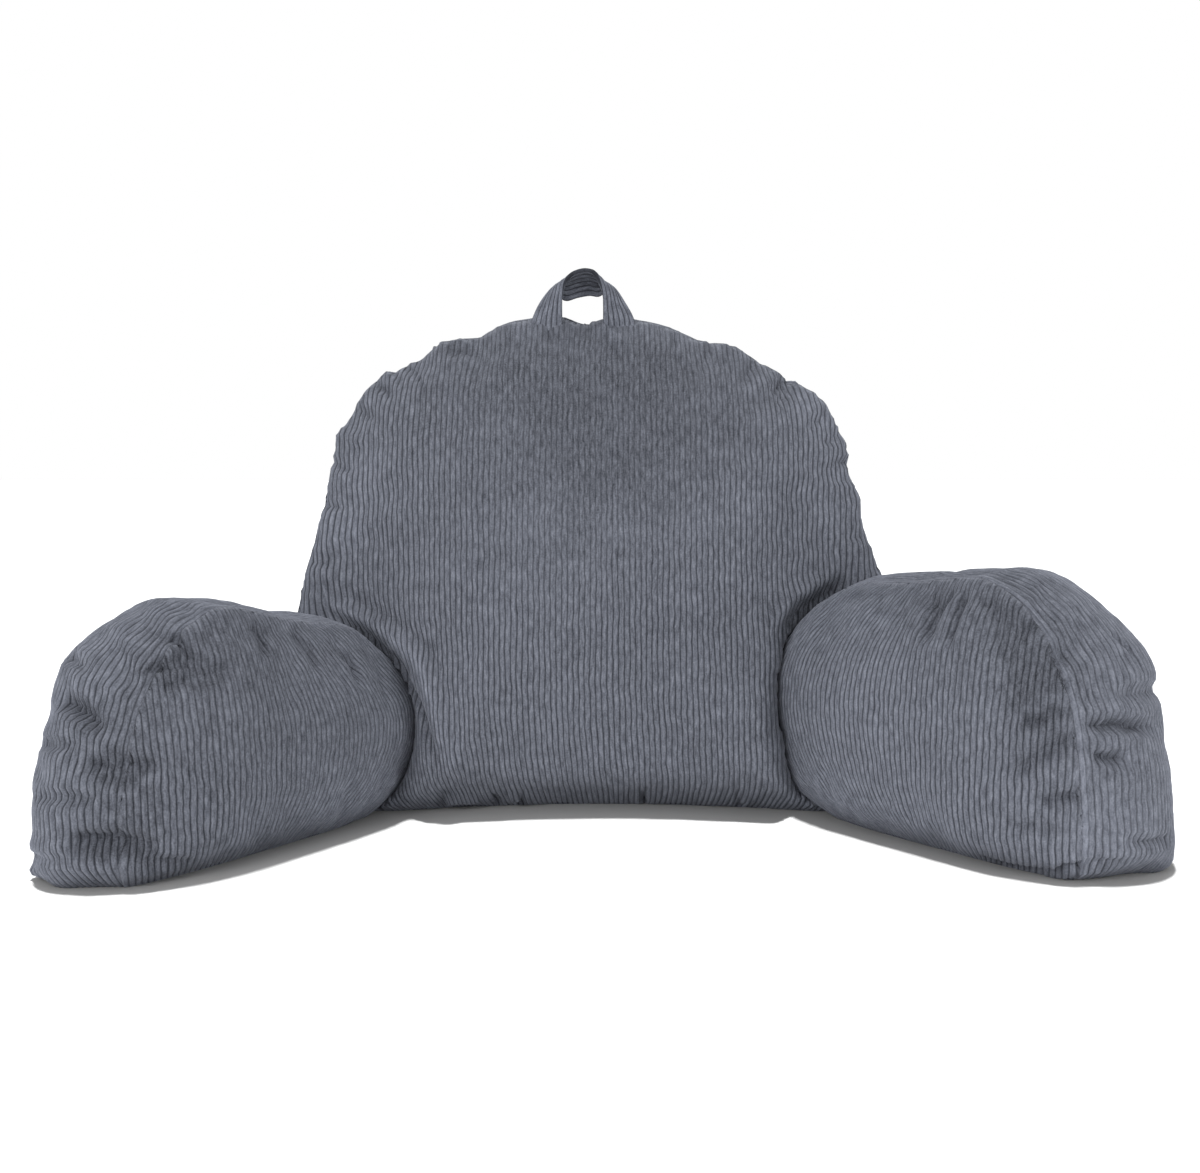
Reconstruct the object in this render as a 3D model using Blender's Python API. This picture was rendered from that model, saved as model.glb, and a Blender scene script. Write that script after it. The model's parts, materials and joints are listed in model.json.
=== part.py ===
"""Reading pillow with arms: a domed back cushion, two boxed arm cushions and a cloth carry handle.

Units are metres, +Z is up and the pillow faces -Y. Each cushion is one filled solid, cut as a
front and a rear panel on the same domed outline with a boxing strip sewn between them.
"""

import bmesh
import bpy
import numpy as np

MM = 0.001

# Driving sizes
BACK_HEIGHT = 457 * MM
BACK_SEAM_FRONT = 12 * MM  # depth of the front seam at the floor, in the middle
BACK_TOE_IN = 28 * MM  # how far the ends of that seam come forward of its middle
BACK_TOE_SPREAD = 200 * MM  # distance from the middle at which the seam has come that far
BACK_SEAM_REAR = 168 * MM  # depth of the rear seam at the floor
BACK_LEAN_FRONT = 88 * MM  # how far the front seam leans back by the top of the dome
BACK_LEAN_REAR = 26 * MM
BACK_BULGE_TOP = 5 * MM  # how far the filling pushes the strip out between its seams
BACK_BULGE_SIDE = 11 * MM
BACK_MIDDLE = (-12, 230)  # across and height, in millimetres, that the gathers point to

ARM_BOXING_TOP = 106 * MM  # width of the strip between an arm's two panels, at its highest
ARM_OUTER_REACH = 17 * MM  # how much further forward an arm's outer panel stands at the floor
ARM_OUTER_DROP = 0.035  # how much lower an arm's outer panel is than its inner one
ARM_BULGE_FRONT = 22 * MM
ARM_BULGE_TOP = 4 * MM
ARM_BULGE_REAR = 5 * MM

LOWEST_SEAM = 3 * MM  # height that the rows above the floor keep, so a crease stays off the bottom
SEWN_GAP = 0.35 * MM  # clearance between pieces that are sewn or pressed together
STRAP_THICKNESS = 4 * MM
CENTRE_SHIFT = (-7.0 * MM, 8.8 * MM)  # puts the middle of the pillow's footprint on the origin

# How each kind of cushion is filled: the height over which its bottom edge rounds up, the share
# of the crown left at the floor, the width over which a panel rises from its seam, and its crowns
BACK_FILLING = {
    "floor_round": 46 * MM,
    "floor_fullness": 0.0,
    "reach": 165 * MM,
    "crown_front": 44 * MM,
    "crown_rear": 26 * MM,
}
ARM_FILLING = {
    "floor_round": 34 * MM,
    "floor_fullness": 0.5,
    "reach": 92 * MM,
    "crown_front": 26 * MM,
    "crown_rear": 16 * MM,
}
CROWN_ROUNDNESS = 0.65  # 1 is a parabola's rise from the seam, and less is steeper

# Quads across, through and up each cushion, and along and across the strap
BACK_CELLS = (34, 7, 26)
ARM_CELLS = (22, 8, 15)
STRAP_CELLS = (30, 4)
CURVE_SAMPLES = 16  # points between two rows of an outline

# The back's domed outline, seen from the front: (height, left edge, right edge) in millimetres
BACK_OUTLINE = (
    (0, -266, 254),
    (40, -277, 263),
    (120, -284, 271),
    (200, -276, 260),
    (250, -266, 247),
    (300, -259, 238),
    (340, -252, 230),
    (375, -236, 210),
    (405, -207, 179),
    (428, -170, 136),
    (445, -122, 78),
)
BACK_TOP = (-16, 457)
BACK_SHOULDER_ROW = 7  # the row of BACK_OUTLINE where the sides turn into the top

# An arm's domed outline in its own plane: (length from the rear foot, height) in millimetres,
# from the rear foot up, over the top and down to the front foot
RIGHT_ARM_OUTLINE = (
    (0, 0), (-36, 28), (-50, 64), (-58, 106), (-48, 150), (-14, 188), (34, 213), (96, 220),
    (158, 227), (196, 208), (222, 175), (238, 135), (246, 90), (250, 45), (251, 0),
)
LEFT_ARM_OUTLINE = (
    (0, 0), (-26, 27), (-44, 52), (-49, 90), (-37, 119), (-8, 146), (32, 175), (94, 188),
    (160, 205), (190, 197), (215, 177), (238, 142), (252, 106), (261, 60), (263, 0),
)
ARM_REAR_SHOULDER_ROW = 5
ARM_FRONT_SHOULDER_ROW = 10

# Soft puckers where the dome's seam is gathered: (across, height, depth, reach) in millimetres
BACK_PUCKERS = (
    (-264, 283, 4, 16),
    (-259, 322, 6, 15),
    (-238, 366, 9, 15),
    (-214, 397, 7, 14),
    (-178, 419, 6, 14),
    (-124, 438, 9, 15),
    (-20, 458, 10, 13),
    (98, 440, 7, 16),
    (152, 418, 6, 14),
    (190, 394, 9, 15),
    (224, 354, 6, 16),
    (240, 312, 7, 15),
    (254, 262, 4, 16),
)

# Creases pressed across an arm: (length, through, height) of each end, depth and half width in
# millimetres. "Through" runs from the inner panel's seam out to the outer panel's.
RIGHT_ARM_CREASES = (
    (262, 14, 128, 262, 74, 124, 6, 9),
    (262, 20, 100, 262, 50, 104, 5, 8),
    (254, -4, 76, 236, -16, 84, 5, 9),
    (252, -4, 140, 226, -16, 130, 5, 9),
    (196, 0, 206, 150, -20, 160, 6, 11),
    (140, 0, 216, 120, -22, 172, 5, 11),
    (20, 8, 196, 30, 90, 196, 6, 14),
)
LEFT_ARM_CREASES = (
    (266, 26, 148, 270, 88, 128, 6, 10),
    (262, -6, 100, 266, 34, 96, 7, 9),
    (262, -6, 34, 270, 66, 44, 7, 10),
    (232, -8, 172, 200, -2, 186, 7, 10),
    (242, -12, 22, 214, -18, 16, 5, 9),
    (120, 0, 186, 110, -20, 150, 5, 11),
    (10, 8, 160, 20, 90, 164, 6, 14),
)

# Each arm: its outline and creases, the width of its strip at the floor, where its inner panel's
# rear foot stands in millimetres, the way its length runs and the way out to its outer panel
ARMS = {
    "arm_right": {
        "outline": RIGHT_ARM_OUTLINE,
        "creases": RIGHT_ARM_CREASES,
        "floor_width": 111 * MM,
        "foot": (199, -22),
        "along": (0.65, -0.76),
        "outward": (0.76, 0.65),
    },
    "arm_left": {
        "outline": LEFT_ARM_OUTLINE,
        "creases": LEFT_ARM_CREASES,
        "floor_width": 92 * MM,
        "foot": (-202, -18),
        "along": (-0.6, -0.8),
        "outward": (-0.8, 0.6),
    },
}

# The strap's two edges from the left root over the top to the right root:
# (outer edge across, depth, height, inner edge across, depth, height) in millimetres
STRAP_ROWS = (
    (-69, 90, 441, -38, 91, 441),
    (-68, 90, 454, -38, 92, 454),
    (-58, 88, 474, -37, 94, 466),
    (-45, 85, 490, -35, 99, 474),
    (-30, 81, 501, -24, 104, 479),
    (-16, 79, 504, -13, 106, 481),
    (-5, 81, 500, -5, 106, 481),
    (6, 85, 489, 0, 102, 475),
    (20, 88, 474, 1, 96, 466),
    (31, 90, 456, 1, 92, 454),
    (32, 90, 441, 1, 91, 441),
)

SLATE = (0.150, 0.158, 0.190)
SLATE_LIGHT = (0.185, 0.195, 0.230)
CORDUROY_ROUGHNESS = 0.9


# Curves and fields


def smooth_curve(points):
    """A Catmull-Rom curve through the points, in metres, as a dense polyline."""
    p = np.array(points, float) * MM
    p = np.vstack([2 * p[0] - p[1], p, 2 * p[-1] - p[-2]])
    s = np.linspace(0, 1, CURVE_SAMPLES, endpoint=False)[:, None]
    spans = []
    for a, b, c, d in zip(p, p[1:], p[2:], p[3:]):
        slope = c - a
        bend = 2 * a - 5 * b + 4 * c - d
        twist = d + 3 * (b - c) - a
        spans.append(b + 0.5 * (slope * s + bend * s**2 + twist * s**3))
    return np.vstack(spans + [p[-2:-1]])


def point_along(line, share):
    """The points at these shares of a polyline's length."""
    steps = np.linalg.norm(np.diff(line, axis=0), axis=1)
    run = np.concatenate([[0], np.cumsum(steps)]) / steps.sum()
    return np.stack([np.interp(share, run, line[:, k]) for k in range(line.shape[1])], axis=1)


def nearest_on(line, points):
    """For each point, its distance to a polyline and the polyline's outward normal there."""
    starts, ends = line[:-1], line[1:]
    spans = ends - starts
    to = points[:, None, :] - starts[None]
    share = np.clip((to * spans).sum(2) / (spans**2).sum(1), 0, 1)
    gap = np.linalg.norm(to - share[..., None] * spans, axis=2)
    best = gap.argmin(1)
    tangents = spans[best] / np.linalg.norm(spans[best], axis=1)[:, None]
    return gap.min(1), np.stack([-tangents[:, 1], tangents[:, 0]], axis=1)


def crowned(distance, reach):
    """0 on a seam, rising steeply and levelling to 1 at reach from it."""
    return (1 - (1 - np.clip(distance / reach, 0, 1)) ** 2) ** CROWN_ROUNDNESS


def pinned_patch(corner_rows, line, a, c):
    """Spreads the square a, c in [-1, 1] over an outline: a Coons patch between its four sides."""
    low, high = (row * CURVE_SAMPLES for row in corner_rows)
    left, top, right = line[: low + 1], line[low : high + 1], line[high:][::-1]
    u, v = (a + 1) / 2, (c + 1) / 2
    bottom = np.array([left[0], right[0]])
    on_left, on_right = point_along(left, v), point_along(right, v)
    on_bottom, on_top = point_along(bottom, u), point_along(top, u)
    u, v = u[:, None], v[:, None]
    corners = (1 - u) * ((1 - v) * left[0] + v * left[-1]) + u * ((1 - v) * right[0] + v * right[-1])
    return (1 - v) * on_bottom + v * on_top + (1 - u) * on_left + u * on_right - corners


def smooth_step(x):
    x = np.clip(x, 0, 1)
    return x * x * (3 - 2 * x)


# Mesh helpers


def block_grid(across, through, up):
    """A cube from -1 to 1, cut into a regular grid of quads on each side."""
    bm = bmesh.new()
    bmesh.ops.create_cube(bm, size=2)
    for axis, cells in enumerate((across, through, up)):
        along = [e for e in bm.edges if abs(e.verts[0].co[axis] - e.verts[1].co[axis]) > 1]
        bmesh.ops.subdivide_edges(bm, edges=along, cuts=cells - 1, use_grid_fill=True)
    return bm


def corduroy_named(name, colour):
    material = bpy.data.materials.new(name)
    material.use_nodes = True
    shader = material.node_tree.nodes["Principled BSDF"]
    shader.inputs["Base Color"].default_value = (*colour, 1)
    shader.inputs["Roughness"].default_value = CORDUROY_ROUGHNESS
    shader.inputs["Metallic"].default_value = 0
    return material


def add_piece(name, bm, material, collection):
    """Links the mesh as an object. Its faces are triangles, so that a cutter's copy bends as it does."""
    bmesh.ops.triangulate(bm, faces=bm.faces)
    bmesh.ops.recalc_face_normals(bm, faces=bm.faces)
    mesh = bpy.data.meshes.new(name)
    bm.to_mesh(mesh)
    bm.free()
    mesh.shade_smooth()
    mesh.materials.append(material)
    piece = bpy.data.objects.new(name, mesh)
    collection.objects.link(piece)
    return piece


def cut_clear(piece, neighbour, cutters):
    """Presses a piece back from its neighbour, leaving the sewn gap between them."""
    tool = bpy.data.objects.new("clear_" + neighbour.name, neighbour.data.copy())
    cutters.objects.link(tool)
    swell = tool.modifiers.new("swell", "DISPLACE")
    swell.strength = SEWN_GAP
    swell.mid_level = 0
    tool.hide_render = True
    tool.display_type = "WIRE"
    cut = piece.modifiers.new("clear_" + neighbour.name, "BOOLEAN")
    cut.operation = "DIFFERENCE"
    cut.object = tool


# The cushions


def boxed_cushion(bm, line, corner_rows, filling, seams, bulge):
    """Bends a block grid into a boxed cushion.

    Returns each vertex as (along the panel, through the cushion, up). The grid's -Y side becomes
    the front panel, its +Y side the rear panel, and the rest the strip between them.
    """
    a, b, c = np.array([v.co for v in bm.verts]).T
    flat = pinned_patch(corner_rows, line, a, c)
    distance, outward = nearest_on(line, flat)
    on_panel = np.abs(b) > 0.999
    on_strip = (np.abs(a) > 0.999) | (c > 0.999)

    seam_front, seam_rear = seams(flat[:, 0], flat[:, 1])
    through = seam_front + (b + 1) / 2 * (seam_rear - seam_front)
    rounding = smooth_step(flat[:, 1] / filling["floor_round"]) ** 0.5
    lift = filling["floor_fullness"] + (1 - filling["floor_fullness"]) * rounding
    crown = np.where(b < 0, filling["crown_front"], filling["crown_rear"])
    crown = crown * lift * crowned(distance, filling["reach"])
    through = np.where(on_panel, through + np.sign(b) * crown, through)

    swollen = bulge(outward) * (1 - b**2) * lift * on_strip
    flat = flat + swollen[:, None] * outward
    flat[c < -0.999, 1] = 0
    return np.stack([flat[:, 0], through, flat[:, 1]], axis=1)


def press_puckers(points, puckers, centre):
    """Draws a gathered seam in towards the cushion's middle at each pucker."""
    for across, height, depth, reach in np.array(puckers, float) * MM:
        away = np.hypot(points[:, 0] - across, points[:, 2] - height)
        pull = depth * np.exp(-0.5 * (away / reach) ** 2)
        aim = centre - points[:, [0, 2]]
        aim /= np.linalg.norm(aim, axis=1)[:, None]
        points[:, [0, 2]] += aim * pull[:, None]


def press_creases(points, normals, creases):
    """Pushes a soft trough into the surface along each crease."""
    for row in np.array(creases, float) * MM:
        start, end, depth, half_width = row[:3], row[3:6], row[6], row[7]
        span = end - start
        share = np.clip((points - start) @ span / (span @ span), 0, 1)
        away = np.linalg.norm(points - start - share[:, None] * span, axis=1)
        points -= normals * (depth * np.exp(-0.5 * (away / half_width) ** 2))[:, None]


def place(bm, points):
    for vertex, co in zip(bm.verts, points):
        vertex.co = co
    bmesh.ops.recalc_face_normals(bm, faces=bm.faces)
    bm.normal_update()


def back_seams(across, height):
    """Depth of the front and rear seams: the front one toes in at the floor, and both lean back."""
    rise = np.clip(height / BACK_HEIGHT, 0, 1)
    spread = np.minimum(np.abs(across) / BACK_TOE_SPREAD, 1) ** 2
    toe_in = BACK_TOE_IN * spread * (1 - smooth_step(rise * 2))
    return BACK_SEAM_FRONT - toe_in + BACK_LEAN_FRONT * rise**1.35, BACK_SEAM_REAR + BACK_LEAN_REAR * rise


def back_bulge(outward):
    return np.where(outward[:, 1] > 0.8, BACK_BULGE_TOP, BACK_BULGE_SIDE)


def back_cushion(collection):
    """The domed back: leans backwards, crowned in front and flatter behind."""
    left = [(row[1], row[0]) for row in BACK_OUTLINE]
    right = [(row[2], row[0]) for row in reversed(BACK_OUTLINE)]
    outline = left + [BACK_TOP] + right
    corners = (BACK_SHOULDER_ROW, len(outline) - 1 - BACK_SHOULDER_ROW)
    bm = block_grid(*BACK_CELLS)
    points = boxed_cushion(bm, smooth_curve(outline), corners, BACK_FILLING, back_seams, back_bulge)
    press_puckers(points, BACK_PUCKERS, np.array(BACK_MIDDLE) * MM)
    points[:, :2] += CENTRE_SHIFT
    place(bm, points)
    return add_piece("back_cushion", bm, corduroy_named("corduroy_back", SLATE), collection)


def arm_bulge(outward):
    forward, upward = outward.T
    front, rear = np.clip(forward, 0, 1), np.clip(-forward, 0, 1)
    return ARM_BULGE_FRONT * front + ARM_BULGE_REAR * rear + ARM_BULGE_TOP * np.clip(upward, 0, 1)


def arm_cushion(name, arm, collection):
    """One boxed arm, splayed outwards, its inner panel crowned towards the sitter."""
    line = smooth_curve(arm["outline"])
    front, top = line.max(axis=0)
    floor_width = arm["floor_width"]

    def seams(_, height):
        return np.zeros_like(height), floor_width - (floor_width - ARM_BOXING_TOP) * (height / top) ** 2

    bm = block_grid(*ARM_CELLS)
    on_floor = np.array([v.co.z < -0.999 for v in bm.verts])
    corners = (ARM_REAR_SHOULDER_ROW, ARM_FRONT_SHOULDER_ROW)
    points = boxed_cushion(bm, line, corners, ARM_FILLING, seams, arm_bulge)
    outer_share = np.clip(points[:, 1] / floor_width, 0, 1)
    forward_share = np.clip(points[:, 0] / front, 0, 1)
    points[:, 0] += ARM_OUTER_REACH * outer_share * forward_share * (1 - (points[:, 2] / top) ** 2)
    points[:, 2] *= 1 - ARM_OUTER_DROP * outer_share
    place(bm, points)
    press_creases(points, np.array([v.normal for v in bm.verts]), arm["creases"])
    points[:, 2] = np.where(on_floor, 0, np.maximum(points[:, 2], LOWEST_SEAM))

    foot, along, outward = (np.array(arm[key]) for key in ("foot", "along", "outward"))
    level = foot * MM + CENTRE_SHIFT + points[:, :1] * along + points[:, 1:2] * outward
    place(bm, np.column_stack([level, points[:, 2]]))
    return add_piece(name, bm, corduroy_named("corduroy_" + name, SLATE_LIGHT), collection)


def handle_strap(collection):
    """A flat strap whose ends are caught in the dome's seam, twisted over into a loop."""
    rows = np.array(STRAP_ROWS, float)
    cells_along, cells_across = STRAP_CELLS
    outer = point_along(smooth_curve(rows[:, :3]), np.linspace(0, 1, cells_along + 1))
    inner = point_along(smooth_curve(rows[:, 3:]), np.linspace(0, 1, cells_along + 1))
    bm = bmesh.new()
    bmesh.ops.create_grid(bm, x_segments=cells_along, y_segments=cells_across, size=1)
    for vertex in bm.verts:
        station = round((vertex.co.x + 1) / 2 * cells_along)
        share = (vertex.co.y + 1) / 2
        vertex.co = outer[station] * (1 - share) + inner[station] * share
        vertex.co.x += CENTRE_SHIFT[0]
        vertex.co.y += CENTRE_SHIFT[1]
    bm.normal_update()
    bmesh.ops.solidify(bm, geom=bm.faces, thickness=STRAP_THICKNESS)
    return add_piece("handle_strap", bm, corduroy_named("corduroy_strap", SLATE), collection)


def main():
    for thing in list(bpy.data.objects):
        bpy.data.objects.remove(thing, do_unlink=True)
    pillow = bpy.data.collections.new("reading_pillow")
    cutters = bpy.data.collections.new("cutters")
    for collection in (pillow, cutters):
        bpy.context.scene.collection.children.link(collection)

    back = back_cushion(pillow)
    neighbours = [arm_cushion(name, arm, pillow) for name, arm in ARMS.items()]
    neighbours.append(handle_strap(pillow))
    for neighbour in neighbours:
        cut_clear(back, neighbour, cutters)


main()
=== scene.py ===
"""Dresses the reading pillow in wide-wale corduroy: two boxed arms, a domed back and a carry loop.

Metres, +Z up, the pillow faces -Y. Each cushion is cut as a maker cuts it: two flat domed panels
whose wales stand upright, and a strip between them whose wales run along it.
"""

import json
import math

import bmesh
import bpy
import numpy as np
from bpy.props import FloatProperty, FloatVectorProperty, IntProperty, PointerProperty
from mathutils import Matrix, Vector
from mathutils.bvhtree import BVHTree
from mathutils.kdtree import KDTree

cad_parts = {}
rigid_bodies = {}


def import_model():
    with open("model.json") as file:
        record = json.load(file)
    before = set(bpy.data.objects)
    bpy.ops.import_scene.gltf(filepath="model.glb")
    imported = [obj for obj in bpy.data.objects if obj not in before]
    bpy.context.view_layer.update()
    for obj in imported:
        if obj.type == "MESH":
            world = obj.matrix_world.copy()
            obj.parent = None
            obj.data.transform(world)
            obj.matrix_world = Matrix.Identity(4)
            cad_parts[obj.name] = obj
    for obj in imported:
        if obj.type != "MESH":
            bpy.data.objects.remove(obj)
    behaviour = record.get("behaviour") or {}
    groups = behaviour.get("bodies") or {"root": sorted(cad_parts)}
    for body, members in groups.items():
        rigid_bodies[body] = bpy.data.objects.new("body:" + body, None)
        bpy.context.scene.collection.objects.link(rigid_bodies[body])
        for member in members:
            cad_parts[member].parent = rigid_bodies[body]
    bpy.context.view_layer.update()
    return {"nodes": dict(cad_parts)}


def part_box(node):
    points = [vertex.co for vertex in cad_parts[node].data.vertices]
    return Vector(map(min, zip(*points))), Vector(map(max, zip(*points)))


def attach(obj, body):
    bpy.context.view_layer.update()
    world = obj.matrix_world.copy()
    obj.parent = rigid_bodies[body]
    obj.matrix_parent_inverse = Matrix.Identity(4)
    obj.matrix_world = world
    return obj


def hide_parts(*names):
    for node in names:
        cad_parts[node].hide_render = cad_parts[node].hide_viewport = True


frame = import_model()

bl_info = {
    "name": "Reading Pillow",
    "version": (1, 0, 0),
    "blender": (4, 5, 0),
    "location": "View3D > Sidebar > Pillow",
    "description": "Builds a corduroy reading pillow with arms and sets it on a studio floor",
    "category": "Object",
}

MM = 0.001
PHOTO_SIZE = (1200, 1173)
SENSOR = 36


# The cushions' sizes, as they are cut and filled

CENTRE_SHIFT = np.array((-7.0, 8.8)) * MM  # from the tables' zero to the middle of the footprint
BACK_HEIGHT = 457 * MM
BACK_SEAM_FRONT = 12 * MM
BACK_TOE_IN = 28 * MM
BACK_TOE_SPREAD = 200 * MM
BACK_SEAM_REAR = 168 * MM
BACK_SEAM_SHARE = 0.5  # its gathered seam is drawn in less than an arm's
BACK_LEAN_FRONT = 88 * MM
BACK_LEAN_REAR = 26 * MM
BACK_LEAN = 14 * MM
BACK_LEAN_HEIGHT = 130 * MM
DRAPE = 24 * MM
DRAPE_AT = np.array((-215, 215)) * MM
DRAPE_SPREAD = 75 * MM
DRAPE_DROP = 110 * MM
BACK_BULGE_TOP = 5 * MM
BACK_BULGE_SIDE = 11 * MM
BACK_MIDDLE = np.array((-12, 230)) * MM
BACK_LEAN_CURVE = 1.35
BACK_LEAN_PLACES, BACK_LEAN_SHARES = (-250 * MM, 200 * MM), (1.0, 0.25)  # more on the left than the right
BACK_TOP_FACING = 0.8  # the strip's way out is at least this much upwards over the top
BACK_STATIONS = 6 * MM, 16 * MM  # steps round the dome's seam and along the floor
BACK_UNEVEN = 1.2 * MM, 90 * MM  # height and length of its unevenness
BACK_SEAM_WAVES = 1.3 * MM, 17 * MM, 16 * MM  # its seam's small gathers: height, length and reach
PRESS_GAP = 0.8 * MM  # left between the back's cloth and an arm's
PRESS_LEAST = 0.5 * MM  # cloth that moves less than this isn't in the dent
PRESS_DEEP = 250 * MM  # how far in an arm's cloth is looked for
PRESS_INSIDE, PRESS_BEHIND, PRESS_ABOVE = 30 * MM, 20 * MM, 10 * MM  # how far round an arm's box
PRESS_FRONT = 60 * MM  # the part of it that is pressed nearly straight back
PRESS_WAY, PRESS_FRONT_WAY = (-0.45, 0.89), (-0.05, 1)  # sideways on the right of the back, and rearwards
ROLL_SHARE = 0.6  # how much of a dent's depth its soft roll starts with
ROLL_WIDTH, ROLL_ABOVE = 24 * MM, 60 * MM
ARM_BOXING_TOP = 106 * MM
ARM_OUTER_REACH = 17 * MM
ARM_OUTER_DROP = 0.035
ARM_BULGE_FRONT = 22 * MM
ARM_BULGE_TOP = 4 * MM
ARM_BULGE_REAR = 5 * MM
ARM_STATIONS = 4.5 * MM, 12 * MM
ARM_ROWS = 0.55  # its rows are shorter than the back's
ARM_SEAM_SHARE = 0.6
ARM_UNEVEN = 0.9 * MM, 52 * MM
ARM_SEAM_WAVES = 0.5 * MM, 12 * MM, 12 * MM
BACK_FILLING = {
    "floor_round": 46 * MM, "floor_fullness": 0.0, "reach": 165 * MM, "crowns": (44 * MM, 26 * MM)}
ARM_FILLING = {
    "floor_round": 34 * MM, "floor_fullness": 0.5, "reach": 92 * MM, "crowns": (26 * MM, 16 * MM)}
CROWN_ROUNDNESS = 0.65
CURVE_SAMPLES = 16

# The back's domed outline: (height, left edge, right edge) in millimetres
BACK_OUTLINE = (
    (0, -266, 254), (40, -277, 263), (120, -283, 270), (200, -271, 255), (250, -260, 241.5),
    (300, -253, 232.5), (340, -246, 224.5), (374, -230, 205), (402, -202, 174), (424, -166, 132),
    (442, -120, 76),
)
BACK_TOP = (-16, 457)

# An arm's outline: (length from the rear foot, height) in millimetres, rear foot to front foot
RIGHT_ARM_OUTLINE = (
    (0, 0), (-36, 28), (-50, 64), (-58, 106), (-48, 150), (-14, 188), (34, 213), (96, 220),
    (158, 227), (196, 208), (222, 175), (238, 135), (246, 90), (250, 45), (251, 0),
)
LEFT_ARM_OUTLINE = (
    (0, 0), (-26, 27), (-44, 52), (-49, 90), (-37, 119), (-8, 146), (32, 175), (94, 188),
    (160, 205), (190, 197), (215, 177), (238, 142), (252, 106), (261, 60), (263, 0),
)

# Gathers in the dome's seam: (across, height, depth, reach) in millimetres
BACK_PUCKERS = (
    (-264, 283, 4, 16), (-259, 322, 6, 15), (-238, 366, 9, 15), (-214, 397, 7, 14), (-178, 419, 6, 14),
    (-124, 438, 9, 15), (-20, 458, 10, 13), (98, 440, 7, 16), (152, 418, 6, 14), (190, 394, 9, 15),
    (224, 354, 6, 16), (240, 312, 7, 15), (254, 262, 4, 16),
)

# The loop's front and rear edges from root to root: (across, depth, height) of each
STRAP_ROWS = (
    (-38, 90, 441, -69, 92, 441), (-38, 88, 454, -68, 92, 454), (-38, 85, 468, -60, 93, 472),
    (-37.5, 82, 480, -49, 97, 486), (-36, 80, 490, -43, 104, 484), (-30, 78, 498, -36, 108, 477),
    (-20, 78, 502, -24, 109, 480), (-12, 78, 502, -12, 109, 482), (-6, 79, 499.5, -3, 108, 481),
    (-2, 81, 492, 3, 105, 485), (0.5, 83, 481, 12, 98, 487), (1, 86, 468, 22, 93, 473),
    (1, 88, 454, 31, 92, 456), (1, 90, 441, 32, 92, 441),
)

# The photograph's folds, each: depth and half width in millimetres, then the pixels that it runs through.
# A negative depth stands up.
LEFT_ARM_FOLDS = (
    (8, 3.5, (156, 667), (176, 669), (200, 667)), (6, 3, (178, 634), (184, 643), (193, 653)),
    (9.5, 6.5, (140, 669), (180, 662), (212, 668), (244, 672)),
    (6.5, 6, (158, 684), (186, 678), (222, 682)), (8, 6, (168, 632), (184, 646), (194, 664)),
    (11, 6.5, (60, 697), (84, 712), (110, 735)), (9.5, 6.5, (84, 766), (130, 763), (170, 768)),
    (6.5, 6, (92, 780), (122, 777), (150, 781)), (13, 9, (64, 843), (118, 842), (172, 853)),
    (5, 6, (136, 862), (196, 864)), (4, 6, (160, 690), (200, 676), (240, 690)),
    (5, 13, (250, 862), (290, 848), (330, 834), (370, 818)), (4, 6, (250, 622), (262, 640), (268, 664)),
    (4, 6, (290, 630), (310, 650), (322, 676)), (4, 5, (330, 640), (352, 664), (364, 692)),
    (5.5, 5.5, (34, 797), (60, 798), (84, 798), (112, 792)), (5.5, 5, (66, 654), (84, 668), (104, 678)),
    (5.5, 5, (38, 742), (60, 746), (92, 740)),
)
RIGHT_ARM_FOLDS = (
    (5, 3.5, (955, 590), (946, 602), (934, 620)), (5, 3.5, (969, 590), (958, 614), (944, 656)),
    (6, 5, (1036, 622), (1018, 638), (994, 664)), (5, 5, (1054, 645), (1030, 654), (1002, 652)),
    (9.5, 5.5, (1082, 727), (1120, 724), (1158, 729)), (9.5, 4.5, (1092, 756), (1131, 761)),
    (8, 5.5, (1040, 803), (1084, 792)), (8, 7, (1018, 727), (1074, 706)),
    (8, 8, (1076, 648), (1040, 668), (990, 698)), (8, 8, (1070, 674), (1030, 694), (994, 718)),
    (8, 8, (1080, 734), (1044, 752), (1004, 782)), (6.5, 7, (984, 592), (998, 616), (1004, 655)),
    (6.5, 7, (1004, 602), (1014, 628), (1006, 670)), (6.5, 7, (1026, 618), (1028, 642), (1012, 682)),
    (6.5, 7, (938, 592), (934, 614), (924, 648)), (3, 2.5, (1110, 632), (1130, 650), (1143, 676)),
    (6.5, 2.6, (970, 854), (1000, 863), (1030, 868), (1056, 872), (1066, 866), (1110, 864), (1150, 862)),
    (-3, 3, (1000, 868), (1040, 876), (1090, 874), (1140, 870)),
    (5, 7, (1104, 690), (1130, 694), (1160, 690)), (5.5, 4.5, (1172, 839), (1150, 843), (1118, 840)),
    (5, 6, (1060, 830), (1030, 826), (1000, 832)),
)

# Where an arm's outer side stands fuller or draws in, from its edge inwards, written like the folds
LEFT_ARM_SWELLS = (
    (-8, 34, (62, 664), (80, 674), (120, 694)), (6, 5, (30, 857), (50, 861), (100, 855)),
)
RIGHT_ARM_SWELLS = (
    (-6.5, 32, (1142, 655), (1126, 662), (1090, 676)),
)

# Where an arm's foot draws in, reaches forward and ends in an ear of its seam, each: place, radius and
# pull in millimetres
LEFT_ARM_PULLS = (
    ((-449, -155, 34), 24, (5, 0, 0)), ((-452, -163, 26), 11, (9, 0, 0)),
    ((-415, -190, 3), 16, (-2, -15, 0)), ((-440, -188, 2), 7, (-9, -5, 0)),
)
RIGHT_ARM_PULLS = (
    ((449, -125, 34), 16, (-4, 0, 0)), ((422, -152, 3), 15, (3, -17, 0)), ((437, -160, 3), 8, (2, -6, 0)),
)

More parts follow.
